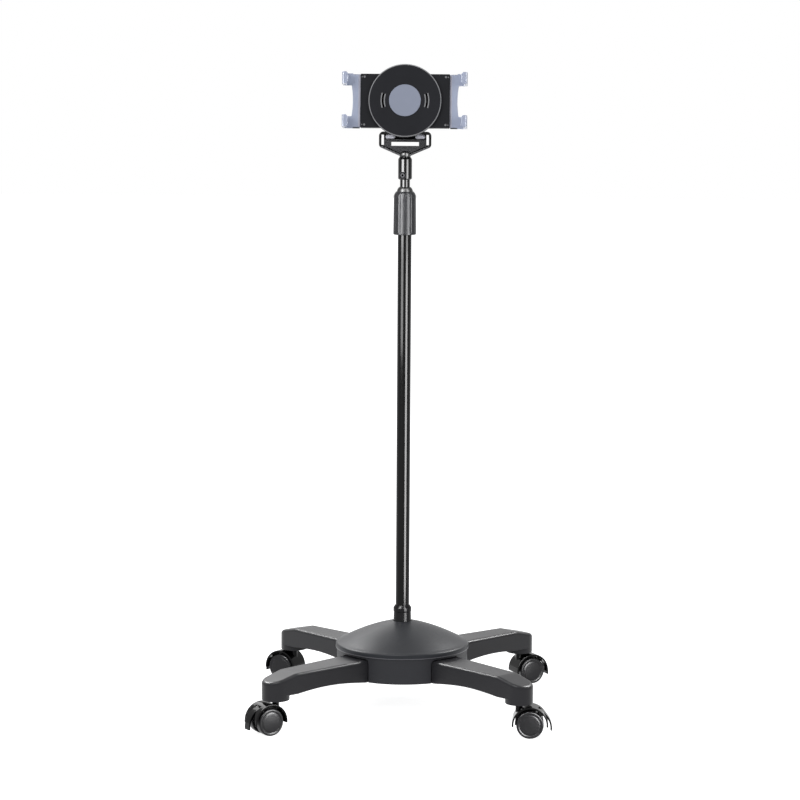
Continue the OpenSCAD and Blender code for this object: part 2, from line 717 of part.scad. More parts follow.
module tilt_bracket() {
    half = knuckle_w / 2;
    r = tilt_bush_d / 2 + 0.1;
    rib = 2.5;
    color([0.12, 0.12, 0.13]) holder_frame() difference() {
        union() {
            slab(bracket_off, bracket_front) {
                translate([-half, 1]) square([knuckle_w, disc_rise - 1]);
                at_disc() circle(r = bracket_r);
            }
            translate([-half, 0, 0]) rotate([90, 0, 90]) linear_extrude(knuckle_w) {
                circle(r = r);
                polygon([[0, -r], [0, r], [-bracket_off, 9], [-bracket_off - 1, 9], [-bracket_off - 1, 1],
                         [-bracket_off, 1]]);
            }
            for (s = [-1, 1]) translate([s * (half - rib / 2) - rib / 2, -bracket_off - 1, 6])
                cube([rib, 4, disc_rise - 20]);
        }
        translate([-half - 1, 0, 0]) rotate([0, 90, 0]) cylinder(d = tilt_axle_d + 2 * fit, h = knuckle_w + 2);
        translate([0, 0, disc_rise]) rotate([90, 0, 0]) cylinder(d = swivel_d + 2 * fit, h = bracket_front + 1);
    }
}

module swivel_rivet() {
    r = swivel_d / 2;
    head = r + 5;
    color([0.6, 0.6, 0.62]) holder_frame() turned()
        polygon([[0, bracket_off - 2.5], [r + 1, bracket_off - 2.5], [r + 3, bracket_off - 0.8],
                 [r + 3, bracket_off], [r, bracket_off], [r, tray_floor + gap], [head, tray_floor + gap],
                 [head, rivet_head_n], [0, rivet_head_n]]);
}

module swivel_washer() {
    r = swivel_d / 2 + fit;
    color([0.85, 0.85, 0.82]) holder_frame() turned()
        translate([r, bracket_front]) square([bracket_r - 6 - r, washer_t]);
}

module cradle_screw_spots() {
    x = cradle_w / 2 - cradle_screw_in;
    v = cradle_h / 2 - tray_wall - 2.2;
    at_disc() for (s = [-1, 1], t = [-1, 1]) translate([s * x, t * v]) children();
}

module cradle_tray() {
    wall_v = cradle_h / 2 - tray_wall;
    bar = bar_h / 2 + gap;
    rib = 1.5;
    l = cradle_w - 6;
    rack_outer = pitch_r + dedendum + rack_back + gap;
    color([0.14, 0.14, 0.15]) holder_frame() difference() {
        union() {
            slab(tray_n, tray_floor) at_disc() rounded_rect(cradle_w, cradle_h, cradle_corner);
            slab(tray_floor - 0.5, tray_rim) at_disc() difference() {
                rounded_rect(cradle_w, cradle_h, cradle_corner);
                square([cradle_w + 2, 2 * wall_v], center = true);
            }
            slab(tray_floor - 0.5, tray_rim - 0.3) at_disc() for (t = [-1, 1]) {
                translate([-l / 2, t * (bar_off - bar - rib / 2) - rib / 2]) square([l, rib]);
                translate([-l / 2, t * (bar_off + bar + rib / 2) - rib / 2]) square([l, rib]);
                translate([-l / 2, t * (rack_outer + rib / 2) - rib / 2]) square([l, rib]);
            }
            slab(tray_floor - 0.5, tray_rim) cradle_screw_spots() circle(d = cradle_screw_d + 2.6, $fn = 24);
        }
        slab(tray_n - 1, tray_floor + 1) at_disc() circle(d = swivel_d + 2 * fit);
        slab(tray_floor + 1, tray_rim + 1) cradle_screw_spots() circle(d = cradle_screw_d, $fn = 24);
    }
}

module cradle_front() {
    stub = rack_module * pinion_teeth / 2 - dedendum - 3.2;
    color([0.14, 0.14, 0.15]) holder_frame() difference() {
        union() {
            slab(tray_rim, front_n) at_disc() rounded_rect(cradle_w, cradle_h, cradle_corner);
            slab(rack_n0, tray_rim + 0.5) at_disc() circle(r = stub);
        }
        slab(tray_rim - 1, front_n + 1) cradle_screw_spots() circle(d = cradle_screw_d + 0.4, $fn = 24);
    }
}

module cradle_screws() {
    color([0.75, 0.75, 0.77]) holder_frame() {
        slab(tray_floor + 1.5, front_n + 0.5) cradle_screw_spots()
            circle(d = cradle_screw_d - 2 * fit, $fn = 24);
        slab(front_n, front_n + 1.2) cradle_screw_spots() circle(d = cradle_screw_d + 1.6, $fn = 24);
    }
}

module arc_slot_ring(s, inset) {
    half = arc_slot_half + inset;
    w = arc_slot_w + 2 * inset * 0.6;
    translate([0, 0, disc_rise]) rotate([90, 0, 0]) rotate([0, 0, 90 - s * 90 - half])
        rotate_extrude(angle = 2 * half, $fn = 96)
            translate([arc_slot_r - w / 2, disc_n - arc_slot_depth]) square([w, arc_slot_depth + 1]);
}

module turntable_disc() {
    r = disc_d / 2;
    color([0.17, 0.17, 0.18]) holder_frame() difference() {
        turned() polygon([[0, front_n], [r - 1, front_n], [r, front_n + 1], [r, disc_n - disc_bevel * 0.7],
                          [r - disc_bevel, disc_n], [0, disc_n]]);
        for (s = [-1, 1]) arc_slot_ring(s, 0);
    }
}

module disc_pad() {
    r = pad_d / 2;
    color([0.58, 0.6, 0.66]) holder_frame() turned()
        polygon([[0, disc_n], [r, disc_n], [r, pad_n - 0.4], [r - 0.4, pad_n], [0, pad_n]]);
}

// Arms: racks above and below one pinion keep the two arms centred

function involute(a) = tan(a) * 180 / PI - a;
base_r = pitch_r * cos(pressure_angle);
function flank(r) = 90 / pinion_teeth - backlash / 4 / pitch_r * 180 / PI
    + involute(pressure_angle) - involute(acos(min(1, base_r / r)));

module pinion_outline() {
    root = pitch_r - dedendum;
    tip = pitch_r + addendum;
    steps = 5;
    radii = [for (i = [0 : steps]) max(base_r, root) + (tip - max(base_r, root)) * i / steps];
    circle(r = root);
    for (k = [0 : pinion_teeth - 1]) rotate(90 + 360 * k / pinion_teeth)
        polygon(concat(
            [for (r = radii) r * [cos(flank(r)), -sin(flank(r))]],
            [for (i = [steps : -1 : 0]) let (r = radii[i]) r * [cos(flank(r)), sin(flank(r))]],
            [(root - 0.3) * [cos(flank(base_r)), sin(flank(base_r))],
             (root - 0.3) * [cos(flank(base_r)), -sin(flank(base_r))]]));
}

module arm_pinion() {
    stub = rack_module * pinion_teeth / 2 - dedendum - 3.2;
    color([0.85, 0.85, 0.82]) holder_frame() slab(rack_n0, bar_n1) at_disc() difference() {
        pinion_outline();
        circle(r = stub + fit);
    }
}

// Rack above the pinion, with its teeth pointing down
module rack_outline() {
    back = pitch_r + dedendum + rack_back;
    tip = pitch_r - addendum;
    root = pitch_r + dedendum;
    half = tooth_pitch / 4 - backlash / 4;
    slope = tan(pressure_angle);
    first = -ceil((arm_travel + 12) / tooth_pitch);
    end = first * tooth_pitch - 1;
    translate([end, root]) square([wing_x0 + 2 - end, back - root]);
    for (k = [first : 1]) translate([(k + 0.5) * tooth_pitch, 0])
        polygon([[-half - slope * dedendum, root + 0.1], [-half + slope * addendum, tip],
                 [half - slope * addendum, tip], [half + slope * dedendum, root + 0.1]]);
}

module wing_outline() {
    h = wing_h / 2;
    r = (h * h + wing_hollow * wing_hollow) / (2 * wing_hollow);
    difference() {
        translate([wing_x0, -h]) square([wing_x1 - wing_x0, wing_h]);
        translate([wing_x1 - wing_hollow + r, 0]) circle(r = r, $fn = 200);
    }
}

// Hook in x and n: foot on the wing, outer wall and a lip turned back over the tablet
module hook_outline() {
    r = hook_t;
    foot = wing_x1 - 6;
    lip = hook_x1 - hook_lip;
    translate([foot, bar_n0]) square([hook_x1 - r - foot, bar_n1 - bar_n0]);
    translate([hook_x1 - r, bar_n0 + r]) circle(r = r);
    translate([hook_x1 - hook_t, bar_n0 + r]) square([hook_t, hook_n1 - bar_n0 - 2 * r]);
    translate([hook_x1 - r, hook_n1 - r]) circle(r = r);
    translate([lip + hook_t / 2, hook_n1 - hook_t]) square([hook_x1 - r - lip - hook_t / 2, hook_t]);
    translate([lip + hook_t / 2, hook_n1 - hook_t / 2]) circle(d = hook_t);
}

// Hook along its height, with the corners of its lip cut off
module hook() {
    difference() {
        linear_extrude(hook_h) mirror([0, 1]) hook_outline();
        slab(bar_n1 + 1, hook_n1 + 1) for (v = [0, hook_h])
            translate([hook_x1 - hook_lip, v]) rotate(45) square(lip_cut * sqrt(2), center = true);
    }
}

module arm_body() {
    bar_x0 = 5;
    slab(bar_n0, bar_n1) at_disc() {
        wing_outline();
        for (t = [-1, 1]) translate([bar_x0, t * bar_off - bar_h / 2]) square([wing_x0 + 2 - bar_x0, bar_h]);
    }
    slab(rack_n0, bar_n1) at_disc() rack_outline();
    for (t = [0, 1]) translate([0, 0, disc_rise]) mirror([0, 0, t]) translate([0, 0, hook_v0]) hook();
}

module arm_right() {
    color([0.68, 0.7, 0.78]) holder_frame() arm_body();
}

// The left arm is the right one turned half round the pinion
module arm_left() {
    color([0.68, 0.7, 0.78]) holder_frame()
        translate([0, 0, disc_rise]) rotate([0, 180, 0]) translate([0, 0, -disc_rise]) arm_body();
}

// Casters: local x from the stem towards the axle and the brake lever

module at_caster(i) {
    rotate([0, 0, 45 + 90 * i]) translate([stem_circle_r, 0, 0]) rotate([0, 0, caster_yaw[i] - 45 - 90 * i])
        children();
}

module at_axle() {
    translate([trail, 0, wheel_r]) rotate([90, 0, 0]) children();
}

// Part of a turn about the axle from angle a to angle b, over radii ri to ro and widths to each side
module sector(a, b, ri, ro, half) {
    at_axle() rotate([0, 0, a]) rotate_extrude(angle = b - a, $fn = 96)
        translate([ri, -half]) square([ro - ri, 2 * half]);
}

module caster_sockets() {
    color([0.3, 0.3, 0.32]) for (i = [0 : 3]) at_caster(i) {
        ring(caster_stem_d / 2 + fit, socket_od / 2, boss_z, socket_top_z);
        ring(caster_stem_d / 2 + fit, socket_od / 2 + 2, boss_z - 1, boss_z);
    }
}

module caster_stems() {
    color([0.6, 0.6, 0.62]) for (i = [0 : 3]) at_caster(i)
        translate([0, 0, wheel_r + 4]) cylinder(d = caster_stem_d, h = socket_top_z - wheel_r - 5);
}

module caster_housing(i) {
    web = 3;
    slot = lever_w / 2 + 1;
    room = wheel_room / 2 - gap - 0.1;
    hub = 8;
    color([0.08, 0.08, 0.09]) at_caster(i) difference() {
        union() {
            sector(-6, 186, hood_ri, hood_ro, caster_half_w);
            sector(30, 186, 0, wheel_r - 0.5, web);
            sector(lever_start + 3, 186, wheel_r - 1.5, hood_ri + 0.5, room);
            at_axle() translate([0, 0, -room]) cylinder(r = hub, h = 2 * room);
            translate([0, 0, wheel_r + 1]) cylinder(d = neck_d, h = neck_top_z - wheel_r - 1);
        }
        sector(-10, lever_start + 1.5, hood_ri - 0.6, hood_ro + 1, slot);
        at_axle() translate([0, 0, -wheel_room]) cylinder(d = axle_d + 2 * fit, h = 2 * wheel_room);
        at_axle() translate([lever_pivot[0], lever_pivot[1], -web - 1])
            cylinder(d = 3 + 2 * fit, h = 2 * web + 2);
        translate([0, 0, wheel_r + 4 - gap]) cylinder(d = caster_stem_d + 2 * fit, h = neck_top_z);
    }
}

module caster_axle(i) {
    half = caster_half_w - 3;
    color([0.6, 0.6, 0.62]) at_caster(i) at_axle() translate([0, 0, -half]) cylinder(d = axle_d, h = 2 * half);
}

// Wheel with a crowned outer face, a rim step and a hollow inner side
module wheel(i, side) {
    y0 = wheel_room / 2;
    y1 = y0 + wheel_w;
    bore = axle_d / 2 + fit;
    r = wheel_r;
    color([0.12, 0.12, 0.13]) at_caster(i) at_axle() mirror([0, 0, side]) rotate_extrude($fn = 96)
        polygon([[bore, y0], [bore + 3.4, y0], [bore + 3.4, y1 - 4], [r - 4.5, y1 - 4.5], [r - 4.5, y0],
                 [r - 1, y0], [r, y0 + 1], [r, y1 - 2.2], [r - 0.6, y1 - 0.8], [r - 2, y1 - 0.2],
                 [r - 3.6, y1 - 0.2], [r - 4.6, y1 - 1], [r - 5.4, y1 - 1], [r - 6.4, y1 - 0.5],
                 [r - 12, y1], [0, y1 + 0.3], [0, y1 - 2.6], [bore, y1 - 2.6]]);
}

function lever_mid(a) = lever_r0 - 0.6 + lever_spread * (lever_start - a);
function lever_half(a) = lever_t / 2 - 0.35 * (lever_start - a) / (lever_start - lever_end);

module lever_outline() {
    steps = 14;
    turn = [for (k = [0 : steps]) lever_start + (lever_end - lever_start) * k / steps];
    polygon(concat(
        [for (a = turn) (lever_mid(a) + lever_half(a)) * [cos(a), sin(a)]],
        [for (k = [steps : -1 : 0]) let (a = turn[k]) (lever_mid(a) - lever_half(a)) * [cos(a), sin(a)]]));
}

module lever_cheek() {
    near = lever_start - 2;
    far = 30;
    translate(lever_pivot) circle(r = 3.4);
    polygon([lever_pivot + [-2.4, 2.4], lever_mid(near) * [cos(near), sin(near)],
             lever_mid(far) * [cos(far), sin(far)], lever_pivot + [2.4, -2.4]]);
}

module caster_lever(i) {
    cheek = 2.2;
    in = 3 + gap + 0.1;
    color([0.08, 0.08, 0.09]) at_caster(i) at_axle() {
        translate([0, 0, -lever_w / 2]) linear_extrude(lever_w) lever_outline();
        for (s = [0, 1]) mirror([0, 0, s]) translate([0, 0, in]) linear_extrude(cheek) lever_cheek();
        translate([lever_pivot[0], lever_pivot[1], -in - cheek]) cylinder(d = 3, h = 2 * (in + cheek));
    }
}

hub_body();
hub_cover();
leg(0);  // leg_back_right
leg(1);  // leg_back_left
leg(2);  // leg_front_left
leg(3);  // leg_front_right
leg_bolts();
caster_sockets();
caster_stems();
pole_collar();
pole_tube();
pole_plug();
pole_bolt();
pole_washer();
clutch_core();
clutch_collet();
clutch_grip();
clutch_cap();
mast_rod();
rod_bush();
coupler();
coupler_screw();
yoke();
tilt_axle();
tilt_bushes();
tilt_bracket();
swivel_rivet();
swivel_washer();
cradle_tray();
cradle_front();
turntable_disc();
disc_pad();
cradle_screws();
arm_pinion();
arm_left();
arm_right();
caster_housing(0);  // caster_br_housing
caster_axle(0);  // caster_br_axle
wheel(0, 0);  // caster_br_wheel_a
wheel(0, 1);  // caster_br_wheel_b
caster_lever(0);  // caster_br_lever
caster_housing(1);  // caster_bl_housing
caster_axle(1);  // caster_bl_axle
wheel(1, 0);  // caster_bl_wheel_a
wheel(1, 1);  // caster_bl_wheel_b
caster_lever(1);  // caster_bl_lever
caster_housing(2);  // caster_fl_housing
caster_axle(2);  // caster_fl_axle
wheel(2, 0);  // caster_fl_wheel_a
wheel(2, 1);  // caster_fl_wheel_b
caster_lever(2);  // caster_fl_lever
caster_housing(3);  // caster_fr_housing
caster_axle(3);  // caster_fr_axle
wheel(3, 0);  // caster_fr_wheel_a
wheel(3, 1);  // caster_fr_wheel_b
caster_lever(3);  // caster_fr_lever
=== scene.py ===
# %% [markdown]
# # A rolling floor stand for a tablet
# The stand is a domed hub on four moulded legs with twin-wheel casters, a black pole with a twist
# clutch, and a holder that turns, tilts and clamps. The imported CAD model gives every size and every
# joint, so this lesson only dresses it: hidden metal keeps its CAD node, and what the eye rests on is
# modelled again with rounded edges that catch the light.

# %% Load the frame
import json
import math

import bmesh
import bpy
from mathutils import Matrix, Vector


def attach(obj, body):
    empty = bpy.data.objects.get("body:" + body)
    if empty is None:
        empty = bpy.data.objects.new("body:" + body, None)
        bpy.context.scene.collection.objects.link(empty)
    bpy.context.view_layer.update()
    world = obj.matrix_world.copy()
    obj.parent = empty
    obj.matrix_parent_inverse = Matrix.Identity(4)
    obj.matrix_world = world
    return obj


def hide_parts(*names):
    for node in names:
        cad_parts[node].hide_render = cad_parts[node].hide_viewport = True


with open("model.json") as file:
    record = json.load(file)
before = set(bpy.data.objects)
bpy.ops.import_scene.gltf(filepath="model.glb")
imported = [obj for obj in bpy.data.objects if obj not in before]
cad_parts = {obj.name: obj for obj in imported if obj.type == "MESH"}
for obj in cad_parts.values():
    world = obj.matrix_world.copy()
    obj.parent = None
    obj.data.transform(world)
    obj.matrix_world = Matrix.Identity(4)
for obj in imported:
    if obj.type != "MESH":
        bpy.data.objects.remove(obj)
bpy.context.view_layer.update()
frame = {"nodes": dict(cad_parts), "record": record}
scene = bpy.context.scene

# %% [markdown]
# ## Camera
# The photograph is a long-lens product shot on white, taken a little from above and from the right. A
# near camera with a short lens would swell the front casters, so this one stands 4.7 m away with a
# 132 mm lens. It aims at the middle of the stand and is rolled by a third of a degree.

# %% Camera
LENS, EYE, TARGET, ROLL = 132.28, (0.1808, -4.6985, 1.109), (-0.0059, 0, 0.5048), 0.342
camera = bpy.data.objects.new("camera", bpy.data.cameras.new("camera"))
camera.data.sensor_width = 36
camera.data.lens = LENS
camera.location = EYE
aim = Vector(TARGET) - camera.location
roll = Matrix.Rotation(math.radians(ROLL), 4, "Z")
camera.rotation_euler = (aim.to_track_quat("-Z", "Y").to_matrix().to_4x4() @ roll).to_euler()
scene.collection.objects.link(camera)
scene.camera = camera
scene.view_settings.view_transform = "Standard"
print("camera looks along", tuple(round(a, 3) for a in aim.normalized()))

# %% [markdown]
# ## White world and floor
# A product shot has a white ground with no horizon. More light would also make it white, but it would
# bleach the stand. So the Light Path node splits the rays: the camera, mirrors and glass see white, and
# the light that falls on the stand comes from a dimmer world and a grey floor. To the eye the floor is
# part paper, which takes the stand's shadow, and part glow, which grows away from the stand.


# %% One shader for the eye and one for the light
def math_of(tree, operation, *values):
    """A sum on numbers and outputs."""
    node = tree.nodes.new("ShaderNodeMath")
    node.operation = operation
    for socket, value in zip(node.inputs, values):
        if isinstance(value, (int, float)):
            socket.default_value = value
        else:
            tree.links.new(value, socket)
    return node.outputs[0]


def white_to_the_eye(tree, seen, other):
    """Show one shader to the camera, mirrors and glass, and the other one to the light that falls."""
    path = tree.nodes.new("ShaderNodeLightPath")
    rays = math_of(tree, "MAXIMUM", path.outputs["Is Camera Ray"], path.outputs["Is Glossy Ray"])
    rays = math_of(tree, "MAXIMUM", rays, path.outputs["Is Transmission Ray"])
    mix = tree.nodes.new("ShaderNodeMixShader")
    tree.links.new(rays, mix.inputs[0])
    tree.links.new(other.outputs[0], mix.inputs[1])
    tree.links.new(seen.outputs[0], mix.inputs[2])
    return mix


# %% World
world = bpy.data.worlds.new("studio")
world.use_nodes = True
tree = world.node_tree
tree.nodes.clear()
seen = tree.nodes.new("ShaderNodeBackground")
seen.inputs["Color"].default_value = (1, 1, 1, 1)
seen.inputs["Strength"].default_value = 1.0
fill = tree.nodes.new("ShaderNodeBackground")
fill.inputs["Color"].default_value = (0.96, 0.98, 1, 1)
fill.inputs["Strength"].default_value = 0.42
out = tree.nodes.new("ShaderNodeOutputWorld")
tree.links.new(white_to_the_eye(tree, seen, fill).outputs[0], out.inputs["Surface"])
scene.world = world
print("world fill", round(fill.inputs["Strength"].default_value, 2))

# %% Floor paper
paper = bpy.data.materials.new("floor_paper")
paper.use_nodes = True
tree = paper.node_tree
tree.nodes.clear()
plain = tree.nodes.new("ShaderNodeBsdfDiffuse")
plain.inputs["Color"].default_value = (0.9, 0.9, 0.9, 1)
dim = tree.nodes.new("ShaderNodeBsdfDiffuse")
dim.inputs["Color"].default_value = (0.4, 0.4, 0.41, 1)
glow = tree.nodes.new("ShaderNodeEmission")
away = tree.nodes.new("ShaderNodeVectorMath")
away.operation = "LENGTH"
tree.links.new(tree.nodes.new("ShaderNodeTexCoord").outputs["Object"], away.inputs[0])
level = tree.nodes.new("ShaderNodeMapRange")
for socket, value in (("From Min", 0.4), ("From Max", 1.6), ("To Min", 0.85), ("To Max", 1.0)):
    level.inputs[socket].default_value = value
tree.links.new(away.outputs["Value"], level.inputs["Value"])
tree.links.new(level.outputs["Result"], glow.inputs["Strength"])
lit = tree.nodes.new("ShaderNodeAddShader")
tree.links.new(plain.outputs[0], lit.inputs[0])
tree.links.new(glow.outputs[0], lit.inputs[1])
out = tree.nodes.new("ShaderNodeOutputMaterial")
tree.links.new(white_to_the_eye(tree, lit, dim).outputs[0], out.inputs["Surface"])
print(paper.name, len(tree.nodes), "nodes")

# %% Floor sheet
bm = bmesh.new()
bmesh.ops.create_grid(bm, x_segments=1, y_segments=1, size=14)
mesh = bpy.data.meshes.new("floor")
bm.to_mesh(mesh)
bm.free()
floor = bpy.data.objects.new("floor", mesh)
mesh.materials.append(paper)
scene.collection.objects.link(floor)
print("floor", tuple(floor.dimensions))

# %% [markdown]
# ## Lamps
# Three broad lamps and the world light the forms at a level where a colour comes out about as it is
# written. Black gloss hardly shows that light: it shows the shapes of lamps. So there are lamps that
# only reflections see, each linked to the pieces it is for. Tall strips, brighter above than below,
# draw the bright lines down the pole. Boxes round the base draw the thin light along the legs' edges,
# and two more brighten the hooks of the clamp arms.


# %% A lamp
def lamp(name, place, target, size, power, glint_on=None):
    """A rectangular lamp that faces its target. A glint is seen in the reflections of some pieces only."""
    light = bpy.data.lights.new(name, "AREA")
    light.shape = "RECTANGLE"
    light.size, light.size_y = size
    light.energy = power
    obj = bpy.data.objects.new(name, light)
    obj.location = place
    obj.rotation_euler = (Vector(target) - Vector(place)).to_track_quat("-Z", "Y").to_euler()
    obj.visible_camera = False
    obj.visible_diffuse = glint_on is None
    obj.visible_glossy = glint_on is not None
    if glint_on is not None:
        obj.light_linking.receiver_collection = glint_on
    scene.collection.objects.link(obj)


# %% Soft lamps and glints
gloss_pieces = bpy.data.collections.new("gloss_pieces")
base_pieces = bpy.data.collections.new("base_pieces")
arm_pieces = bpy.data.collections.new("arm_pieces")
HUB_SPOT, HOLDER_SPOT, POLE_SPOT = (0, 0, 0.1), (0, 0, 1), (0, 0, 0.6)
lamp("overhead", (-0.5, 0.1, 2.7), (0, 0, 0.3), (2.4, 2.4), 27)
lamp("front_left", (-1.9, -3.2, 1.9), POLE_SPOT, (1.6, 1.6), 52)
lamp("front_right", (2.2, -2.6, 1.4), POLE_SPOT, (1.2, 1.6), 25)
lamp("strip_left", (-0.48, -0.67, 1.36), (0, 0, 1.36), (0.56, 1.34), 106, gloss_pieces)
lamp("strip_left_low", (-0.48, -0.67, 0.59), (0, 0, 0.59), (0.56, 0.2), 9, gloss_pieces)
lamp("strip_right", (0.56, -0.61, 1.35), (0, 0, 1.35), (0.44, 1.36), 54, gloss_pieces)
lamp("strip_right_low", (0.56, -0.61, 0.34), (0, 0, 0.34), (0.44, 0.66), 46, gloss_pieces)
lamp("edge_box", (-0.35, -1.0, 2.1), HUB_SPOT, (0.9, 0.5), 25, base_pieces)
lamp("edge_right", (1.2, 0.76, 1.55), HUB_SPOT, (0.7, 0.5), 60, base_pieces)
lamp("edge_left", (-1.2, 0.76, 1.55), HUB_SPOT, (0.7, 0.5), 60, base_pieces)
lamp("back_box", (-0.8, 2.2, 1.5), HUB_SPOT, (1.8, 0.7), 13, base_pieces)
lamp("hook_left", (-1.2, -0.75, 1.5), HOLDER_SPOT, (0.5, 0.9), 60, arm_pieces)
lamp("hook_right", (1.2, -0.75, 1.5), HOLDER_SPOT, (0.5, 0.9), 60, arm_pieces)

# %% [markdown]
# ## Grain and film
# Moulded plastic has a fine grain from the tool, and everything that is handled has a film of dust and
# grease. Each finish could have its own noise nodes, but two shared groups are easier to tune: one gives
# the grain's height and a slow mottle, the other shifts colour and roughness. In a group, the sockets
# carry only what changes over the surface. The shader itself stays in each material.


# %% Short ways to make nodes
def new_group(name, inputs, outputs):
    """A shader node group with named sockets, and its two end nodes."""
    group = bpy.data.node_groups.new(name, "ShaderNodeTree")
    for label, kind, value in inputs:
        socket = group.interface.new_socket(label, in_out="INPUT", socket_type=kind)
        if value is not None:
            socket.default_value = value
    for label, kind in outputs:
        group.interface.new_socket(label, in_out="OUTPUT", socket_type=kind)
    return group, group.nodes.new("NodeGroupInput"), group.nodes.new("NodeGroupOutput")


def noise_of(tree, vector, scale, detail, roughness):
    """Noise whose scale is a number or another node's output."""
    node = tree.nodes.new("ShaderNodeTexNoise")
    node.inputs["Detail"].default_value = detail
    node.inputs["Roughness"].default_value = roughness
    tree.links.new(vector, node.inputs["Vector"])
    if isinstance(scale, float):
        node.inputs["Scale"].default_value = scale
    else:
        tree.links.new(scale, node.inputs["Scale"])
    return node.outputs["Fac"]


# %% Moulded grain
PIT_SHARE, SLOW_SHARE = 0.6, 0.035
grain, given, made = new_group(
    "moulded_grain",
    [("Vector", "NodeSocketVector", None), ("Scale", "NodeSocketFloat", 900.0)],
    [("Height", "NodeSocketFloat"), ("Mottle", "NodeSocketFloat")])
fine = noise_of(grain, given.outputs["Vector"], given.outputs["Scale"], 2.0, 0.6)
pits = grain.nodes.new("ShaderNodeTexVoronoi")
grain.links.new(given.outputs["Vector"], pits.inputs["Vector"])
grain.links.new(given.outputs["Scale"], pits.inputs["Scale"])
height = math_of(grain, "MULTIPLY_ADD", pits.outputs["Distance"], PIT_SHARE, fine)
grain.links.new(height, made.inputs["Height"])
slow = math_of(grain, "MULTIPLY", given.outputs["Scale"], SLOW_SHARE)
grain.links.new(noise_of(grain, given.outputs["Vector"], slow, 4.0, 0.6), made.inputs["Mottle"])
print(grain.name, len(grain.nodes), "nodes")

# %% Handling film
SMEAR_SCALE = 9.0
film, given, made = new_group(
    "handling_film",
    [("Vector", "NodeSocketVector", None), ("Color", "NodeSocketColor", (0.05, 0.05, 0.05, 1)),
     ("Roughness", "NodeSocketFloat", 0.4), ("Mottle", "NodeSocketFloat", 0.5),
     ("Shift", "NodeSocketFloat", 0.2)],
    [("Color", "NodeSocketColor"), ("Roughness", "NodeSocketFloat")])
smear = noise_of(film, given.outputs["Vector"], SMEAR_SCALE, 4.0, 0.65)
both = math_of(film, "ADD", smear, given.outputs["Mottle"])
swing = math_of(film, "SUBTRACT", both, 1.0)
shift = math_of(film, "MULTIPLY", swing, given.outputs["Shift"])
gain = math_of(film, "ADD", shift, 1.0)
tint = film.nodes.new("ShaderNodeVectorMath")
tint.operation = "SCALE"
film.links.new(given.outputs["Color"], tint.inputs[0])
film.links.new(gain, tint.inputs["Scale"])
film.links.new(tint.outputs["Vector"], made.inputs["Color"])
film.links.new(math_of(film, "MULTIPLY", given.outputs["Roughness"], gain), made.inputs["Roughness"])
print(film.name, len(film.nodes), "nodes")

# %% [markdown]
# ## Finishes
# Nearly everything is black, so the finishes differ by gloss and grain: spark-eroded plastic on the
# base, gloss paint on the pole, nylon on the casters, blue-grey plastic on the clamp arms. One function
# builds them all from a colour, a roughness, the grain's scale and depth in millimetres, and the film's
# strength. The specular level is low on the blackest ones, because a white room greys black plastic.

# %% One function for every finish
MM = 0.001


def finish_of(name, colour, roughness, grain_scale, depth, shift, specular=0.5, metallic=0.0):
    """A procedural finish: grain as bump, and a handling film on colour and roughness."""
    material = bpy.data.materials.new(name)
    material.use_nodes = True
    tree = material.node_tree
    shader = tree.nodes["Principled BSDF"]
    where = tree.nodes.new("ShaderNodeTexCoord").outputs["Object"]
    texture = tree.nodes.new("ShaderNodeGroup")
    texture.node_tree = grain
    texture.inputs["Scale"].default_value = grain_scale
    tree.links.new(where, texture.inputs["Vector"])
    wear = tree.nodes.new("ShaderNodeGroup")
    wear.node_tree = film
    wear.inputs["Color"].default_value = (*colour, 1)
    wear.inputs["Roughness"].default_value = roughness
    wear.inputs["Shift"].default_value = shift
    tree.links.new(where, wear.inputs["Vector"])
    tree.links.new(texture.outputs["Mottle"], wear.inputs["Mottle"])
    bump = tree.nodes.new("ShaderNodeBump")
    bump.inputs["Strength"].default_value = 0.6
    bump.inputs["Distance"].default_value = depth * MM
    tree.links.new(texture.outputs["Height"], bump.inputs["Height"])
    tree.links.new(bump.outputs["Normal"], shader.inputs["Normal"])
    tree.links.new(wear.outputs["Color"], shader.inputs["Base Color"])
    tree.links.new(wear.outputs["Roughness"], shader.inputs["Roughness"])
    shader.inputs["Metallic"].default_value = metallic
    shader.inputs["Specular IOR Level"].default_value = specular
    return material


# %% Finishes of the base and of metal
finishes = {
    "hub": finish_of("hub_plastic", (0.028, 0.0285, 0.0325), 0.44, 700.0, 0.04, 0.25, 0.2),
    "dome": finish_of("dome_plastic", (0.0200, 0.0215, 0.0258), 0.42, 700.0, 0.04, 0.22, 0.18),
    # The dome's bead is painted lighter than the dome: a painted highlight.
    "edge": finish_of("dome_bead_painted_highlight", (0.10, 0.10, 0.11), 0.30, 700.0, 0.01, 0.15, 0.3),
    "leg": finish_of("leg_plastic", (0.0175, 0.0172, 0.0198), 0.36, 700.0, 0.04, 0.25, 0.2),
    "wheel": finish_of("wheel_nylon", (0.018, 0.0177, 0.0195), 0.30, 500.0, 0.02, 0.3, 0.15),
    "caster": finish_of("caster_nylon", (0.002, 0.002, 0.0022), 0.10, 700.0, 0.001, 0.15, 0.1),
    "steel": finish_of("zinc_plate", (0.55, 0.55, 0.57), 0.30, 500.0, 0.01, 0.25, metallic=1.0),
    "screw": finish_of("screw_steel", (0.20, 0.20, 0.21), 0.34, 900.0, 0.01, 0.3, metallic=1.0),
}
print("finishes of the base and of metal", len(finishes))

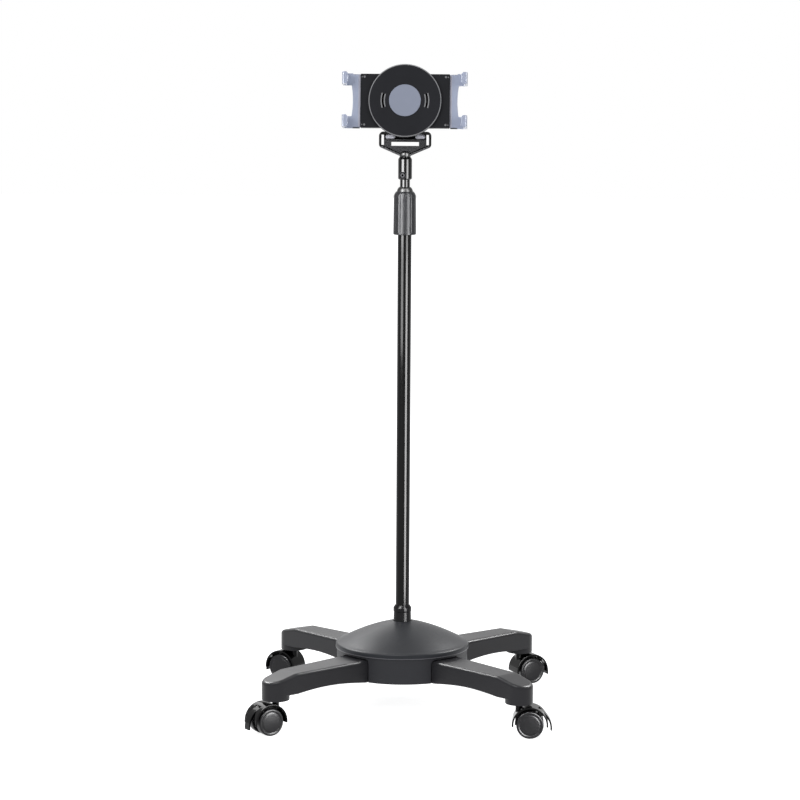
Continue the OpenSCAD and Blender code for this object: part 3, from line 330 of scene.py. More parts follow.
# %% Finishes of the mast
finishes |= {
    "collar": finish_of("collar_plastic", (0.012, 0.012, 0.013), 0.18, 900.0, 0.002, 0.1, 0.08),
    "pole": finish_of("pole_paint", (0.002, 0.002, 0.002), 0.12, 350.0, 0.0006, 0.1, 0.11),
    "rod": finish_of("rod_gloss", (0.002, 0.002, 0.002), 0.10, 350.0, 0.0004, 0.1, 0.2),
    "core": finish_of("core_plastic", (0.010, 0.010, 0.011), 0.45, 900.0, 0.03, 0.25, 0.2),
    "nylon": finish_of("natural_nylon", (0.62, 0.62, 0.58), 0.45, 900.0, 0.02, 0.1),
    "grip": finish_of("grip_plastic", (0.034, 0.0345, 0.038), 0.30, 800.0, 0.0002, 0.1, 0.11),
    "cap": finish_of("cap_gloss", (0.003, 0.003, 0.003), 0.10, 500.0, 0.0004, 0.1, 0.2),
    "crown": finish_of("crown_gloss", (0.010, 0.010, 0.010), 0.34, 500.0, 0.0004, 0.1, 0.26),
    "yoke": finish_of("yoke_satin", (0.012, 0.012, 0.0135), 0.45, 600.0, 0.02, 0.2, 0.05),
    # The yoke's lower V edges are painted lighter: a painted highlight.
    "vee_painted_highlight": finish_of("yoke_vee_painted_highlight", (0.034, 0.034, 0.037), 0.40, 600.0, 0.02, 0.2, 0.1),
    "slit": finish_of("slit_shade", (0.0015, 0.0015, 0.0015), 0.60, 600.0, 0.02, 0.1, 0.0),
    "bush": finish_of("bush_plastic", (0.80, 0.80, 0.88), 0.30, 900.0, 0.01, 0.1, 0.3),
}
print("with the mast", len(finishes))

# %% Finishes of the holder
finishes |= {
    # Black paint, made dead black on the bracket's front faces as painted shade.
    "bracket": finish_of("bracket_black_paint_and_shade", (0.004, 0.004, 0.0045), 0.60, 500.0, 0.01, 0.2, 0.01),
    "cradle": finish_of("cradle_plastic", (0.0155, 0.016, 0.0182), 0.44, 600.0, 0.04, 0.45, 0.12),
    "disc": finish_of("disc_plastic", (0.0175, 0.018, 0.021), 0.46, 600.0, 0.04, 0.4, 0.12),
    # The disc's bevel and slot lips are painted light grey: a painted highlight.
    "rim": finish_of("disc_rim_painted_highlight", (0.25, 0.25, 0.26), 0.28, 600.0, 0.01, 0.2, 0.4),
    "pad": finish_of("pad_rubber", (0.285, 0.31, 0.39), 0.70, 1600.0, 0.05, 0.06, 0.2),
    "arm": finish_of("arm_plastic", (0.40, 0.44, 0.565), 0.22, 900.0, 0.002, 0.1, 0.3),
    "strip": finish_of("strip_plastic", (0.50, 0.50, 0.58), 0.30, 900.0, 0.01, 0.1, 0.3),
}
print("with the holder", len(finishes))

# %% Finishes on the CAD nodes
GLOSS = {"pole", "cap", "collar", "grip", "caster", "wheel"}
BASE = {"hub", "dome", "leg", "caster", "wheel"}
ARMS = {"arm", "bush"}
for name, node in frame["nodes"].items():
    slot = node.data.materials[0].name.split(".")[0]
    node.data.materials.clear()
    node.data.materials.append(finishes["rod" if name == "mast_rod" else slot])
    if slot in GLOSS:
        gloss_pieces.objects.link(node)

# %% [markdown]
# ## Tools of the workshop
# A few ways of making cover the whole stand. A lathe spins an outline, a punch fills outlines and
# extrudes them, a file rounds the sharp edges of anything, and a softener takes a copy of a CAD node to
# the file. The CAD mesh is loose triangles, so a copy is merged into flat faces first: only then do two
# faces share an edge that can be rounded. Sizes are in millimetres until a mesh is made.


# %% Lathe
def turned(points, steps=96, closed=False, start=0.0, sweep=360.0):
    """Spin an outline of (radius, height) in millimetres about Z."""
    bm = bmesh.new()
    verts = [bm.verts.new((r * MM, 0, z * MM)) for r, z in points]
    edges = [bm.edges.new(pair) for pair in zip(verts, verts[1:])]
    if closed:
        edges.append(bm.edges.new((verts[-1], verts[0])))
    turn = Matrix.Rotation(math.radians(start), 3, "Z")
    bmesh.ops.rotate(bm, cent=(0, 0, 0), matrix=turn, verts=verts)
    bmesh.ops.spin(bm, geom=verts + edges, cent=(0, 0, 0), axis=(0, 0, 1), angle=math.radians(sweep),
                   steps=steps, use_merge=sweep == 360.0)
    bmesh.ops.remove_doubles(bm, verts=bm.verts[:], dist=1e-7)
    if closed and sweep < 360.0:
        bmesh.ops.holes_fill(bm, edges=bm.edges[:], sides=0)
    bmesh.ops.recalc_face_normals(bm, faces=bm.faces[:])
    return bm


# %% Punch
def points_of(geometry):
    """The points in what an operator gives back."""
    return [v for v in geometry if isinstance(v, bmesh.types.BMVert)]


def punched(outlines, low, high):
    """Fill outlines of (x, y) in millimetres, the first with the others as holes, from low to high."""
    bm = bmesh.new()
    edges = []
    for outline in outlines:
        verts = [bm.verts.new((x * MM, y * MM, low * MM)) for x, y in outline]
        edges += [bm.edges.new(pair) for pair in zip(verts, verts[1:] + verts[:1])]
    bmesh.ops.triangle_fill(bm, use_beauty=True, use_dissolve=True, edges=edges, normal=(0, 0, 1))
    risen = bmesh.ops.extrude_face_region(bm, geom=bm.faces[:])["geom"]
    bmesh.ops.translate(bm, vec=(0, 0, (high - low) * MM), verts=points_of(risen))
    bmesh.ops.recalc_face_normals(bm, faces=bm.faces[:])
    return bm


# %% File and softener
def ease(bm, width, angle=30.0, segments=2, only=None):
    """Round the edges that are sharper than an angle, by a width in millimetres."""
    sharp = [e for e in bm.edges if e.is_manifold and e.calc_face_angle() > math.radians(angle)
             and (only is None or only(e))]
    bmesh.ops.bevel(bm, geom=sharp, offset=width * MM, offset_type="OFFSET", segments=segments,
                    profile=0.5, affect="EDGES", clamp_overlap=True, material=-1)
    return bm


def merged(node):
    """A copy of a CAD node's mesh with its loose triangles merged into flat faces."""
    bm = bmesh.new()
    bm.from_mesh(frame["nodes"][node].data)
    bmesh.ops.remove_doubles(bm, verts=bm.verts[:], dist=2e-6)
    bmesh.ops.dissolve_limit(bm, angle_limit=math.radians(0.6), verts=bm.verts[:], edges=bm.edges[:])
    return bm


def softened(node, width, angle=30.0, segments=2):
    """A copy of a CAD node with rounded edges."""
    return ease(merged(node), width, angle, segments)


# %% Moving, painting and joining
def moved(bm, matrix):
    bmesh.ops.transform(bm, matrix=matrix, verts=bm.verts[:])
    return bm


def painted(bm, look):
    """Give every face one of the piece's finishes, by its number."""
    for f in bm.faces:
        f.material_index = look
    return bm


def joined(*parts):
    """Several meshes as one."""
    whole = bmesh.new()
    for part in parts:
        mesh = bpy.data.meshes.new("part")
        part.to_mesh(mesh)
        part.free()
        whole.from_mesh(mesh)
        bpy.data.meshes.remove(mesh)
    return whole


# %% [markdown]
# Settling makes a piece of a finished mesh. The piece gets smooth shading with its sharp edges kept, its
# finishes, the lamps that glint on it, the body that it moves with, and the CAD nodes that it hides.

# %% Settling
node_body = {n: b for b, names in frame["record"]["behaviour"]["bodies"].items() for n in names}


def settle(bm, name, slot, nodes, matrix=None, sharp=40.0, looks=None):
    """Make the finished piece: smooth shading, its finish, its body and the nodes it stands for."""
    if matrix is not None:
        moved(bm, matrix)
    mesh = bpy.data.meshes.new(name)
    bm.to_mesh(mesh)
    bm.free()
    mesh.shade_smooth()
    mesh.set_sharp_from_angle(angle=math.radians(sharp))
    for finish in looks or [slot]:
        mesh.materials.append(finishes[finish])
    piece = bpy.data.objects.new(name, mesh)
    scene.collection.objects.link(piece)
    if slot in GLOSS or "cap" in (looks or []):
        gloss_pieces.objects.link(piece)
    if slot in BASE:
        base_pieces.objects.link(piece)
    if slot in ARMS:
        arm_pieces.objects.link(piece)
    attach(piece, node_body[nodes[0]])
    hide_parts(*nodes)
    piece.modifiers.new("even_shading", "WEIGHTED_NORMAL").keep_sharp = True
    print(name, len(mesh.vertices), "points", len(mesh.polygons), "faces")


# %% [markdown]
# ## Legs
# Each leg is one plastic moulding: a tapering beam with rounded top edges, an arch below, a crease
# where the top dips to the rounded tip, and a boss for the caster. It could be built from lofted
# sections, but one flat drawing is easier to keep true: the plan is drawn as a few points with a spun
# end, extruded to a slab, and inset in small steps for the rounded edge. Only then is it bent to its
# heights. A groove where the leg leaves the hub draws the dark joint.

# %% Leg sizes and heights
STEM_R, ROOT_R, HUB_R, CREASE_R = 270.0, 46.0, 106.0, 243.0
ROOT_HALF, TIP_R, EDGE_R, EDGE_STEPS = 29.0, 22.0, 5.5, 8
TOP_Z, TOP_DROP, TIP_DIP = 96.0, 1.5, math.tan(math.radians(13))
UNDER_Z, ARCH, ARCH_SWEEP, FOOT_EASE = 60.0, 6.0, 165, 0.8
GROOVE, GROOVE_DEPTH, SLAB = (98.6, 101.2), 6, 1
POCKET_END, RIB, DRAFT, POCKET_DEPTH = 240, 1.6, 0.6, 24
BOSS_Z, BOSS_TOP = 53.0, 74.0


def leg_half(r):
    return ROOT_HALF + (TIP_R - ROOT_HALF) * max(0.0, r - HUB_R) / (STEM_R - HUB_R)


def leg_share(r):
    return min(1.0, max(0.0, r - HUB_R) / (CREASE_R - HUB_R))


def leg_top(r):
    return TOP_Z - TOP_DROP * leg_share(r) - TIP_DIP * max(0.0, r - CREASE_R)


def leg_under(r):
    return UNDER_Z + ARCH * math.sin(math.radians(ARCH_SWEEP * leg_share(r)))


print("leg at the crease", leg_top(CREASE_R), "to", round(leg_under(CREASE_R), 1), "mm")


# %% Leg slab
def leg_slab():
    """The plan of a leg along x, as a thin slab with its points in millimetres."""
    bm = bmesh.new()
    stations = [ROOT_R, *GROOVE, HUB_R, *range(112, 225, 16), 238]
    stations += [CREASE_R - 1.5, CREASE_R + 1.5, 250, 260, STEM_R]
    right = [bm.verts.new((r, -leg_half(r), 0)) for r in stations]
    for pair in zip(right, right[1:]):
        bm.edges.new(pair)
    spun = bmesh.ops.spin(bm, geom=[right[-1]], cent=(STEM_R, 0, 0), axis=(0, 0, 1), angle=math.pi,
                          steps=24)
    end = points_of(spun["geom_last"])[0]
    left = [end] + [bm.verts.new((r, leg_half(r), 0)) for r in reversed(stations[:-1])]
    for pair in zip(left, left[1:] + [right[0]]):
        bm.edges.new(pair)
    bmesh.ops.contextual_create(bm, geom=bm.edges[:])
    risen = bmesh.ops.extrude_face_region(bm, geom=bm.faces[:])["geom"]
    bmesh.ops.translate(bm, vec=(0, 0, SLAB), verts=points_of(risen))
    bmesh.ops.recalc_face_normals(bm, faces=bm.faces[:])
    return bm


# %% Leg edges and groove
def split_across(bm, face):
    """Join the matching points of the two long sides, so that the face can bend."""
    sides = [sorted((v for v in face.verts if s * v.co.y > 0.01), key=lambda v: v.co.x) for s in (1, -1)]
    for a, b in list(zip(*sides))[1:]:
        bmesh.ops.connect_vert_pair(bm, verts=[a, b])


def round_edges(bm):
    """Inset the top in steps that follow a quarter round, and the underside once."""
    top = max(bm.faces, key=lambda f: f.calc_center_median().z)
    low = min(bm.faces, key=lambda f: f.calc_center_median().z)
    for k in range(EDGE_STEPS):
        a, b = (math.radians(90 * (k + i) / EDGE_STEPS) for i in (0, 1))
        bmesh.ops.inset_individual(bm, faces=[top], thickness=EDGE_R * (math.cos(a) - math.cos(b)),
                                   depth=EDGE_R * (math.sin(b) - math.sin(a)), use_even_offset=True)
    bmesh.ops.inset_individual(bm, faces=[low], thickness=FOOT_EASE, depth=FOOT_EASE, use_even_offset=True)
    for face in (top, low):
        split_across(bm, face)
    bm.normal_update()


def cut_groove(bm):
    """Push the sides in between two stations."""
    seam = [f for f in bm.faces if abs(f.normal.y) > 0.25
            and GROOVE[0] < f.calc_center_median().x < GROOVE[1]]
    sunk = bmesh.ops.extrude_face_region(bm, geom=seam)["geom"]
    for v in points_of(sunk):
        v.co.y -= math.copysign(GROOVE_DEPTH, v.co.y)
    bmesh.ops.delete(bm, geom=[f for f in seam if f.is_valid], context="FACES_ONLY")


# %% Leg bend, pockets and boss
def bend(bm):
    """Take the slab's two faces to the leg's heights."""
    for v in bm.verts:
        r = v.co.x
        if v.co.z < SLAB / 2:
            v.co.z = leg_under(r) + FOOT_EASE + v.co.z
        else:
            v.co.z = leg_top(r) - EDGE_R + v.co.z - SLAB
    bm.normal_update()


def sink_pockets(bm):
    """Hollow the underside between its ribs."""
    pockets = [f for f in bm.faces if f.normal.z < -0.9 and HUB_R < f.calc_center_median().x < POCKET_END]
    bmesh.ops.inset_individual(bm, faces=pockets, thickness=RIB, depth=0, use_even_offset=True)
    bmesh.ops.inset_individual(bm, faces=pockets, thickness=DRAFT, depth=-POCKET_DEPTH,
                               use_even_offset=True)


def leg_body():
    bm = leg_slab()
    for shape in (round_edges, cut_groove, bend, sink_pockets):
        shape(bm)
    bmesh.ops.scale(bm, vec=(MM, MM, MM), verts=bm.verts[:])
    boss = turned([(0, BOSS_Z), (TIP_R - 1.2, BOSS_Z), (TIP_R - 0.35, BOSS_Z + 0.35),
                   (TIP_R - 0.02, BOSS_Z + 1.2), (TIP_R - 0.02, BOSS_TOP), (0, BOSS_TOP)], steps=48)
    return joined(bm, moved(boss, Matrix.Translation((STEM_R * MM, 0, 0))))


for i, corner in enumerate(("back_right", "back_left", "front_left", "front_right")):
    turn = Matrix.Rotation(math.radians(45 + 90 * i), 4, "Z")
    settle(leg_body(), "leg_moulding_" + corner, "leg", ["leg_" + corner], turn, sharp=32)

# %% [markdown]
# ## Hub and pole foot
# The hub is a skirt with a notch for each leg, which keeps its CAD form with softer edges, under a
# dome. A dome like this is a job for the lathe: its slope bulges a little past a straight cone, its rim
# is rounded, ends in a bead painted lighter as a highlight, and hangs over the skirt. The collar on top
# is turned too, with a thick lip that holds the pole.

# %% Dome and skirt
DOME_HOLE, DOME_EDGE, DOME_TOP, DOME_BULGE, DOME_WALL = 15.55, 103.2, 143.5, 14.4, 2.5
RIM_Z, RIM_ROUND, BEAD_R, BEAD_Z = 105.0, 5.0, 108.1, 102.1


def dome_z(r):
    t = (r - DOME_HOLE) / (DOME_EDGE - DOME_HOLE)
    return DOME_TOP + (RIM_Z + RIM_ROUND - DOME_TOP) * t + DOME_BULGE * t * (1 - t)


slope = [DOME_HOLE + (DOME_EDGE - DOME_HOLE) * k / 24 for k in range(25)]
turns = [math.radians(a) for a in range(30, 91, 10)]
outline = [(r, dome_z(r)) for r in slope]
outline += [(DOME_EDGE + RIM_ROUND * math.sin(a), RIM_Z + RIM_ROUND * math.cos(a)) for a in turns]
outline += [(108.2, 102.2), (108.5, 101.8), (108.5, 101.2), (108.2, 100.8), (107.6, 100.5)]
outline += [(106.3, 100.5), (106.3, 104.5)]
outline += [(100, dome_z(100) - DOME_WALL), (100, 100), (97.5, 100)]
outline += [(r, dome_z(r) - DOME_WALL) for r in reversed(slope) if r < 97]
dome = turned(outline, 160, closed=True)
# The bead under the rim gets the lighter finish: a painted highlight.
for f in dome.faces:
    middle = f.calc_center_median()
    if middle.xy.length > BEAD_R * MM and middle.z < BEAD_Z * MM:
        f.material_index = 1
settle(dome, "hub_dome", "dome", ["hub_cover"], looks=["dome", "edge"])
settle(softened("hub_body", 0.7), "hub_skirt", "hub", ["hub_body"])

# %% Collar
outline = [(11.15, 137.5), (14.75, 137.5), (14.45, 148), (14.15, 158), (14.2, 158.6), (14.7, 159.3),
           (14.75, 160), (14.75, 164.6), (14.5, 165.5), (12.2, 168.9), (11.7, 169.4), (11.15, 169.5)]
settle(turned(outline, 96, closed=True), "pole_foot_collar", "collar", ["pole_collar"], sharp=25)

# %% [markdown]
# ## Clutch
# Twisting the grey sleeve clamps the rod. Twelve faint flutes run up it and end in small arches on the
# rounded shoulder. They could be cut with a boolean, but then the shading breaks at each cut. So the
# sleeve is turned first, and every point of its side is pressed in by the depth of the flute at its
# place around the sleeve. A gloss cap with a rounded crown closes the top.

# %% Flutes
GRIP_Z, FLUTES, FLUTE_DEPTH, FLUTE_SHARE, FLUTE_TURN = 772.0, 12, 0.28, 0.2, 0.35
FLUTE_LOW, FLUTE_HIGH, FADE_LOW, FADE_HIGH, BORE_R = 2, 65, 3.0, 1.6, 16


def press_flutes(sleeve):
    """Press the flutes into the sleeve's side, fading at both ends."""
    for v in sleeve.verts:
        up = v.co.z / MM - GRIP_Z
        radius = math.hypot(v.co.x, v.co.y)
        if radius > BORE_R * MM and FLUTE_LOW < up < FLUTE_HIGH:
            across = (math.atan2(v.co.y, v.co.x) / (2 * math.pi) * FLUTES + FLUTE_TURN) % 1 - 0.5
            fade = min(1.0, (up - FLUTE_LOW) / FADE_LOW, (FLUTE_HIGH - up) / FADE_HIGH)
            press = FLUTE_DEPTH * MM * max(0.0, 1 - (across / FLUTE_SHARE) ** 2) * fade
            v.co.x, v.co.y = v.co.x * (1 - press / radius), v.co.y * (1 - press / radius)
    return sleeve


# %% Grip
GRIP_R, GRIP_TAPER, GRIP_SIDE = 18.45, 0.65, 61


def full_arc(radius, height, across, up, fullness, angles):
    """An arc between a straight slope and a quarter round, from its foot to its top."""
    turns = [math.radians(a) for a in angles]
    return [(radius + across * math.cos(a) ** fullness, height + up * math.sin(a) ** fullness)
            for a in turns]


levels = (1.4, 2.4, 3.4, 4.5, 6, 8, 12, 24, 36, 48, 54, 57, 59, GRIP_SIDE)
outline = [(15.3, 0), (17.3, 0), (17.9, 0.3), (18.3, 0.8)]
outline += [(GRIP_R - GRIP_TAPER * z / GRIP_SIDE, z) for z in levels]
outline += full_arc(13.1, GRIP_SIDE, 4.7, 8, 1.35, range(5, 90, 5))
outline += [(13.1, 69), (13.1, 64), (15.3, 64)]
sleeve = turned([(r, z + GRIP_Z) for r, z in outline], 240, closed=True)
settle(press_flutes(sleeve), "clutch_sleeve", "grip", ["clutch_grip"], sharp=60)

# %% Cap
outline = [(8.45, 834.2), (14.8, 834.2), (14.8, 836), (12.75, 836)]
outline += full_arc(8.3, 841, 4.45, 7.2, 1.25, range(0, 90, 6)) + [(8.45, 848.2)]
settle(turned(outline, 96, closed=True), "clutch_dome", "cap", ["clutch_cap"], looks=["crown"])

# %% [markdown]
# ## Coupler and set screw
# The coupler is a drilled cylinder, already shaped in the CAD model, so a copy gets rounded edges: on
# gloss paint such an edge is most of what one sees. The set screw is a punched ring with a hexagon hole
# over a floor painted near-black as shade. Round it lie thin rings: a dark one is the painted shade of a
# countersink, and bright ones are painted highlights on its rims. They are turned flat, and then each
# point is lifted onto the coupler's round side.

# %% Coupler and set screw
COUPLER_R, SCREW_Z, SCREW_TURN, SCREW_SEAT, SCREW_R = 11.1, 867.0, -110, 8, 2.9
RING_LOW, RING_HIGH = -0.4, 0.08


def ring_of(count, radius):
    turns = [2 * math.pi * k / count for k in range(count)]
    return [(radius * math.cos(a), radius * math.sin(a)) for a in turns]


def wrapped_ring(inner, outer, look):
    """A thin ring laid on the coupler's round side."""
    outline = [(inner, RING_LOW), (outer, RING_LOW), (outer, RING_HIGH), (inner, RING_HIGH)]
    bm = turned(outline, 48, closed=True)
    for v in bm.verts:
        v.co.z += math.sqrt((COUPLER_R * MM) ** 2 - v.co.y ** 2) - SCREW_SEAT * MM
    return painted(bm, look)


settle(softened("coupler", 0.9, 30, 4), "coupler_turned", "cap", ["coupler"])
cup = ease(punched([ring_of(32, SCREW_R), ring_of(6, 2.1)], 0.8, 2.75), 0.25, 50)
# The floor under the hexagon is painted near-black: painted shade in the socket.
cup_floor_painted_shade = painted(turned([(0, 0), (SCREW_R, 0), (SCREW_R, 0.9), (0, 0.9)], 32), 1)
# Flat rings: the bright ones are painted highlights on the countersink's rims, the dark one its painted
# shade.
painted_rings = [wrapped_ring(2.95, 3.6, 0), wrapped_ring(3.6, 5.4, 1), wrapped_ring(5.4, 5.7, 0)]
aside = Matrix.Translation((0, 0, SCREW_Z * MM)) @ Matrix.Rotation(math.radians(SCREW_TURN), 4, "Z")
outward = aside @ Matrix.Rotation(math.radians(90), 4, "Y") @ Matrix.Translation((0, 0, SCREW_SEAT * MM))
settle(joined(cup, cup_floor_painted_shade, *painted_rings), "set_screw_cup", "steel", ["coupler_screw"], outward,
       looks=["screw", "slit"])

# %% [markdown]
# ## Yoke
# The yoke is a casting with gloss bars round a satin panel. A copy of the CAD node is cut along a level
# line, so that the lower edges can be painted lighter: a painted highlight where they catch the light as
# a V. What is too fine for the solid is laid on as thin sheets in the near-black shade finish: a painted
# shade line inside the V, painted shadows above the slot and between the pills, and webs with slim bars
# that close off the side slits. The stem's rounded end shows above the coupler.

# %% Yoke casting
TILT_Z, VEE_DROP, PANEL_LIMIT, BAR_LIMIT = 928.0, 15.0, 3.3, 4.2
GLOSS_BAR, PANEL, PAINTED_SHADE, VEE_HIGHLIGHT, CROWN = range(5)
yoke = merged("yoke")
bmesh.ops.bisect_plane(yoke, geom=yoke.verts[:] + yoke.edges[:] + yoke.faces[:], dist=1e-6,
                       plane_co=(0, 0, (TILT_Z - VEE_DROP) * MM), plane_no=(0, 0, 1))
yoke.normal_update()
for f in (f for f in yoke.faces if abs(f.normal.y) > 0.99):
    middle = f.calc_center_median()
    if abs(middle.y) < PANEL_LIMIT * MM:
        f.material_index = PANEL
    # Below the level line the V's faces are painted lighter: a painted highlight.
    elif abs(middle.y) > BAR_LIMIT * MM and middle.z < (TILT_Z - VEE_DROP) * MM:
        f.material_index = VEE_HIGHLIGHT
ease(yoke, 0.3, 50)
print("yoke", len(yoke.faces), "faces")

# %% Sheets, bars and plugs in the yoke
PANEL_Y, VEE_FOOT, VEE_END, VEE_WIDE = 3.1, (8.0, -27.2), (37.9, -14.4), 1.5


def yoke_sheet(outline, near, far, look):
    """A flat piece in the yoke's own plane: x across, z from the tilt axis, and its depths along y."""
    bm = painted(punched([outline], -far, -near), look)
    return moved(bm, Matrix.Translation((0, 0, TILT_Z * MM)) @ Matrix.Rotation(math.pi / 2, 4, "X"))


def box_of(x0, x1, z0, z1):
    return [(x0, z0), (x1, z0), (x1, z1), (x0, z1)]


def along_axis(side=1):
    """Lay what stands at the origin along the tilt axis, towards one side."""
    return Matrix.Translation((0, 0, TILT_Z * MM)) @ Matrix.Rotation(side * math.pi / 2, 4, "Y")


# Painted shade: near-black sheets for a line inside the V and shadows above the slot and between the pills;
# the webs in the side slits take the same near-black finish.
vee_shade_line = [VEE_FOOT, VEE_END, (VEE_END[0], VEE_END[1] + VEE_WIDE), (VEE_FOOT[0], VEE_FOOT[1] + VEE_WIDE)]
bar = ((31.9, -4.6), (33.9, -4.6), (33.9, 3.2), (38.2, 3.2), (38.2, 5), (31.9, 5))
sheets = [yoke_sheet(box_of(-16, 16, -4.6, -1.8), 4.0, 4.4, PAINTED_SHADE)]
for face in (1, -1):
    near, far = sorted((face * (PANEL_Y - 0.3), face * (PANEL_Y + 0.1)))
    sheets.append(yoke_sheet(box_of(-21.9, 21.9, -8.1, -6.4), near, far, PAINTED_SHADE))
    for s in (1, -1):
        sheets.append(yoke_sheet([(s * x, z) for x, z in vee_shade_line], near, far, PAINTED_SHADE))
for s in (1, -1):
    sheets.append(yoke_sheet(box_of(s * 15.5, s * 33.6, -4.6, 5), 3.75, 4.4, PAINTED_SHADE))
    sheets.append(yoke_sheet([(s * x, z) for x, z in bar], -4.3, 4.3, GLOSS_BAR))
for s in (1, -1):
    plug = turned([(0, 37.7), (2.06, 37.7), (2.06, 41.5), (0, 41.5)], 32)
    sheets.append(moved(plug, along_axis(s)))
outline = [(0, 895.8), (8.8, 895.8)] + full_arc(0, 900.8, 8.8, 5.2, 1, range(0, 90, 6)) + [(0, 906)]
stem = painted(turned(outline, 64), CROWN)
settle(joined(yoke, *sheets, stem), "yoke_cast", "yoke", ["yoke"],
       looks=["cap", "yoke", "slit", "vee_painted_highlight", "crown"])

# %% [markdown]
# ## Tilt pin and pills
# A plain pin lies along the tilt axis. On it sit two pale plastic pills that keep the holder's barrel
# away from the bars. The lathe works about the upright axis, so both are turned standing and then laid
# along the tilt axis.

# %% Tilt pin and pills
PIN_END, PIN_R, PILL_BORE, PILL_WALL, PILL_ROUND = 33.4, 2, 2.1, 1.4, 2.8
PILL_LONG, PILL_AT = 12.2, 16.6
outline = [(0, -PIN_END), (1.7, -PIN_END), (PIN_R, -33.1), (PIN_R, 33.1), (1.7, PIN_END), (0, PIN_END)]
settle(turned(outline, 48), "tilt_pin", "steel", ["tilt_axle"], along_axis())


def pill():
    """A capsule with a bore, beside the middle of the axis."""
    turns = [math.radians(a) for a in range(0, 91, 15)]
    body = [(PILL_BORE + PILL_WALL * math.sin(a), PILL_ROUND - PILL_ROUND * math.cos(a)) for a in turns]
    body += [(PILL_BORE + PILL_WALL * math.cos(a), PILL_LONG + PILL_ROUND * math.sin(a)) for a in turns]
    return moved(turned(body, 48, closed=True), Matrix.Translation((0, 0, PILL_AT * MM)))


pills = [moved(pill(), along_axis(s)) for s in (1, -1)]
settle(joined(*pills), "tilt_pills", "bush", ["tilt_bushes"])

# %% [markdown]
# ## Cradle
# Behind the disc lies a flat box: a tray, a front plate with four screws, and a bracket with a rivet at
# the back that lets it turn. Their CAD forms are right, so copies get softer edges. The bracket is black
# paint; its faces towards the front, where it lies between the pills, are painted dead black as shade,
# and the faces behind are satin. The screws are new: a punched cross under a rounded rim. The holder
# leans back, so they are made upright, where x runs across, y up and z out towards the tablet, and then
# leaned with it.

# %% Bracket, rivet, tray and plate
HOLDER = (Matrix.Translation((0, 0, TILT_Z * MM)) @ Matrix.Rotation(math.radians(-8), 4, "X")
          @ Matrix.Rotation(math.radians(90), 4, "X"))
DISC_V, PLATE_N = 54.4, 26.0
bracket = softened("tilt_bracket", 0.4)
bracket.normal_update()
# The back faces get the satin finish; the front ones stay dead black as painted shade.
for f in bracket.faces:
    if f.normal.y > -0.2:
        f.material_index = 1
settle(bracket, "bracket_pressed", "bracket", ["tilt_bracket"], looks=["bracket", "yoke"])
settle(softened("swivel_rivet", 0.7, 30, 3), "rivet_turned", "steel", ["swivel_rivet"], looks=["screw"])
settle(softened("cradle_tray", 0.4), "tray_moulding", "cradle", ["cradle_tray"])
settle(softened("cradle_front", 0.4), "front_plate", "cradle", ["cradle_front"])

# %% Plate screws
HEAD_R, CROSS_ARM, CROSS_REACH = 1.8, 0.3, 1.15
SCREW_X, SCREW_V, PEG_X = 64.5, 38.0, 68.4


def screw_head():
    """A round head with a cross, and a floor under the cross."""
    a, b = CROSS_ARM, CROSS_REACH
    cross = [(b, a), (a, a), (a, b), (-a, b), (-a, a), (-b, a),
             (-b, -a), (-a, -a), (-a, -b), (a, -b), (a, -a), (b, -a)]
    top = punched([ring_of(32, HEAD_R), cross], 0.5, 1.1)
    ease(top, 0.35, 50, 3, lambda e: all(v.co.xy.length > 1.7 * MM and v.co.z > 1.05 * MM for v in e.verts))
    return joined(top, turned([(0, 0), (HEAD_R, 0), (HEAD_R, 0.55), (0, 0.55)], 32))


heads = []
for x in (-1, 1):
    for v in (-SCREW_V, SCREW_V):
        peg = turned([(0, 0), (0.9, 0), (0.9, 0.2), (0.6, 0.4), (0, 0.45)], 24)
        for shape, out in ((screw_head(), SCREW_X), (peg, PEG_X)):
            spot = Matrix.Translation((x * out * MM, (DISC_V + v) * MM, PLATE_N * MM))
            heads.append(moved(shape, spot))
settle(joined(*heads), "plate_screws", "steel", ["cradle_screws"], HOLDER, looks=["screw"])

# %% [markdown]
# ## Clamp arms
# Two blue-grey arms slide out of the cradle's ends, each with a wing and two hooks. Drawing them again
# would only repeat the CAD, so copies are turned upright, where the edges are easy to tell apart: the
# wing's long edges and the hooks' lips get wide rounds, and all others a small one. Where the wing meets
# the cradle, a strip is cut off with a plane and raised, and a dark sheet behind the wing is its shadow.

# %% Strip on a wing
WING_N, STRIP_IN, STRIP_END, STRIP_OUT, STRIP_LIFT, STRIP_LAP = 22.6, 71.3, 71.5, 74.2, 0.45, 0.35


def raise_strip(bm, side):
    """Cut the strip off the wing's face, raise it, and lap it a little over the cradle's end."""
    bmesh.ops.bisect_plane(bm, geom=bm.verts[:] + bm.edges[:] + bm.faces[:], dist=1e-6,
                           plane_co=(side * STRIP_OUT * MM, 0, 0), plane_no=(1, 0, 0))
    strip = [f for f in bm.faces if f.normal.z > 0.99 and abs(f.calc_center_median().z / MM - WING_N) < 0.1
             and STRIP_IN < side * f.calc_center_median().x / MM < STRIP_OUT]
    raised = bmesh.ops.extrude_face_region(bm, geom=strip)["geom"]
    bmesh.ops.translate(bm, vec=(0, 0, STRIP_LIFT * MM), verts=points_of(raised))
    bmesh.ops.delete(bm, geom=[f for f in strip if f.is_valid], context="FACES_ONLY")
    bm.normal_update()
    for v in bm.verts:
        if STRIP_IN * MM < side * v.co.x < STRIP_END * MM and abs(v.co.z / MM - WING_N) < 0.6:
            v.co.x -= side * STRIP_LAP * MM


# %% Clamp arms
WING_BACK, WING_HALF, LIP_N = 17.2, 42.0, 40


def long_edge(e):
    """An edge along the top or the bottom of the wing's face."""
    return all(abs(v.co.z / MM - WING_N) < 0.6 and abs(abs(v.co.y / MM - DISC_V) - WING_HALF) < 0.05
               for v in e.verts)


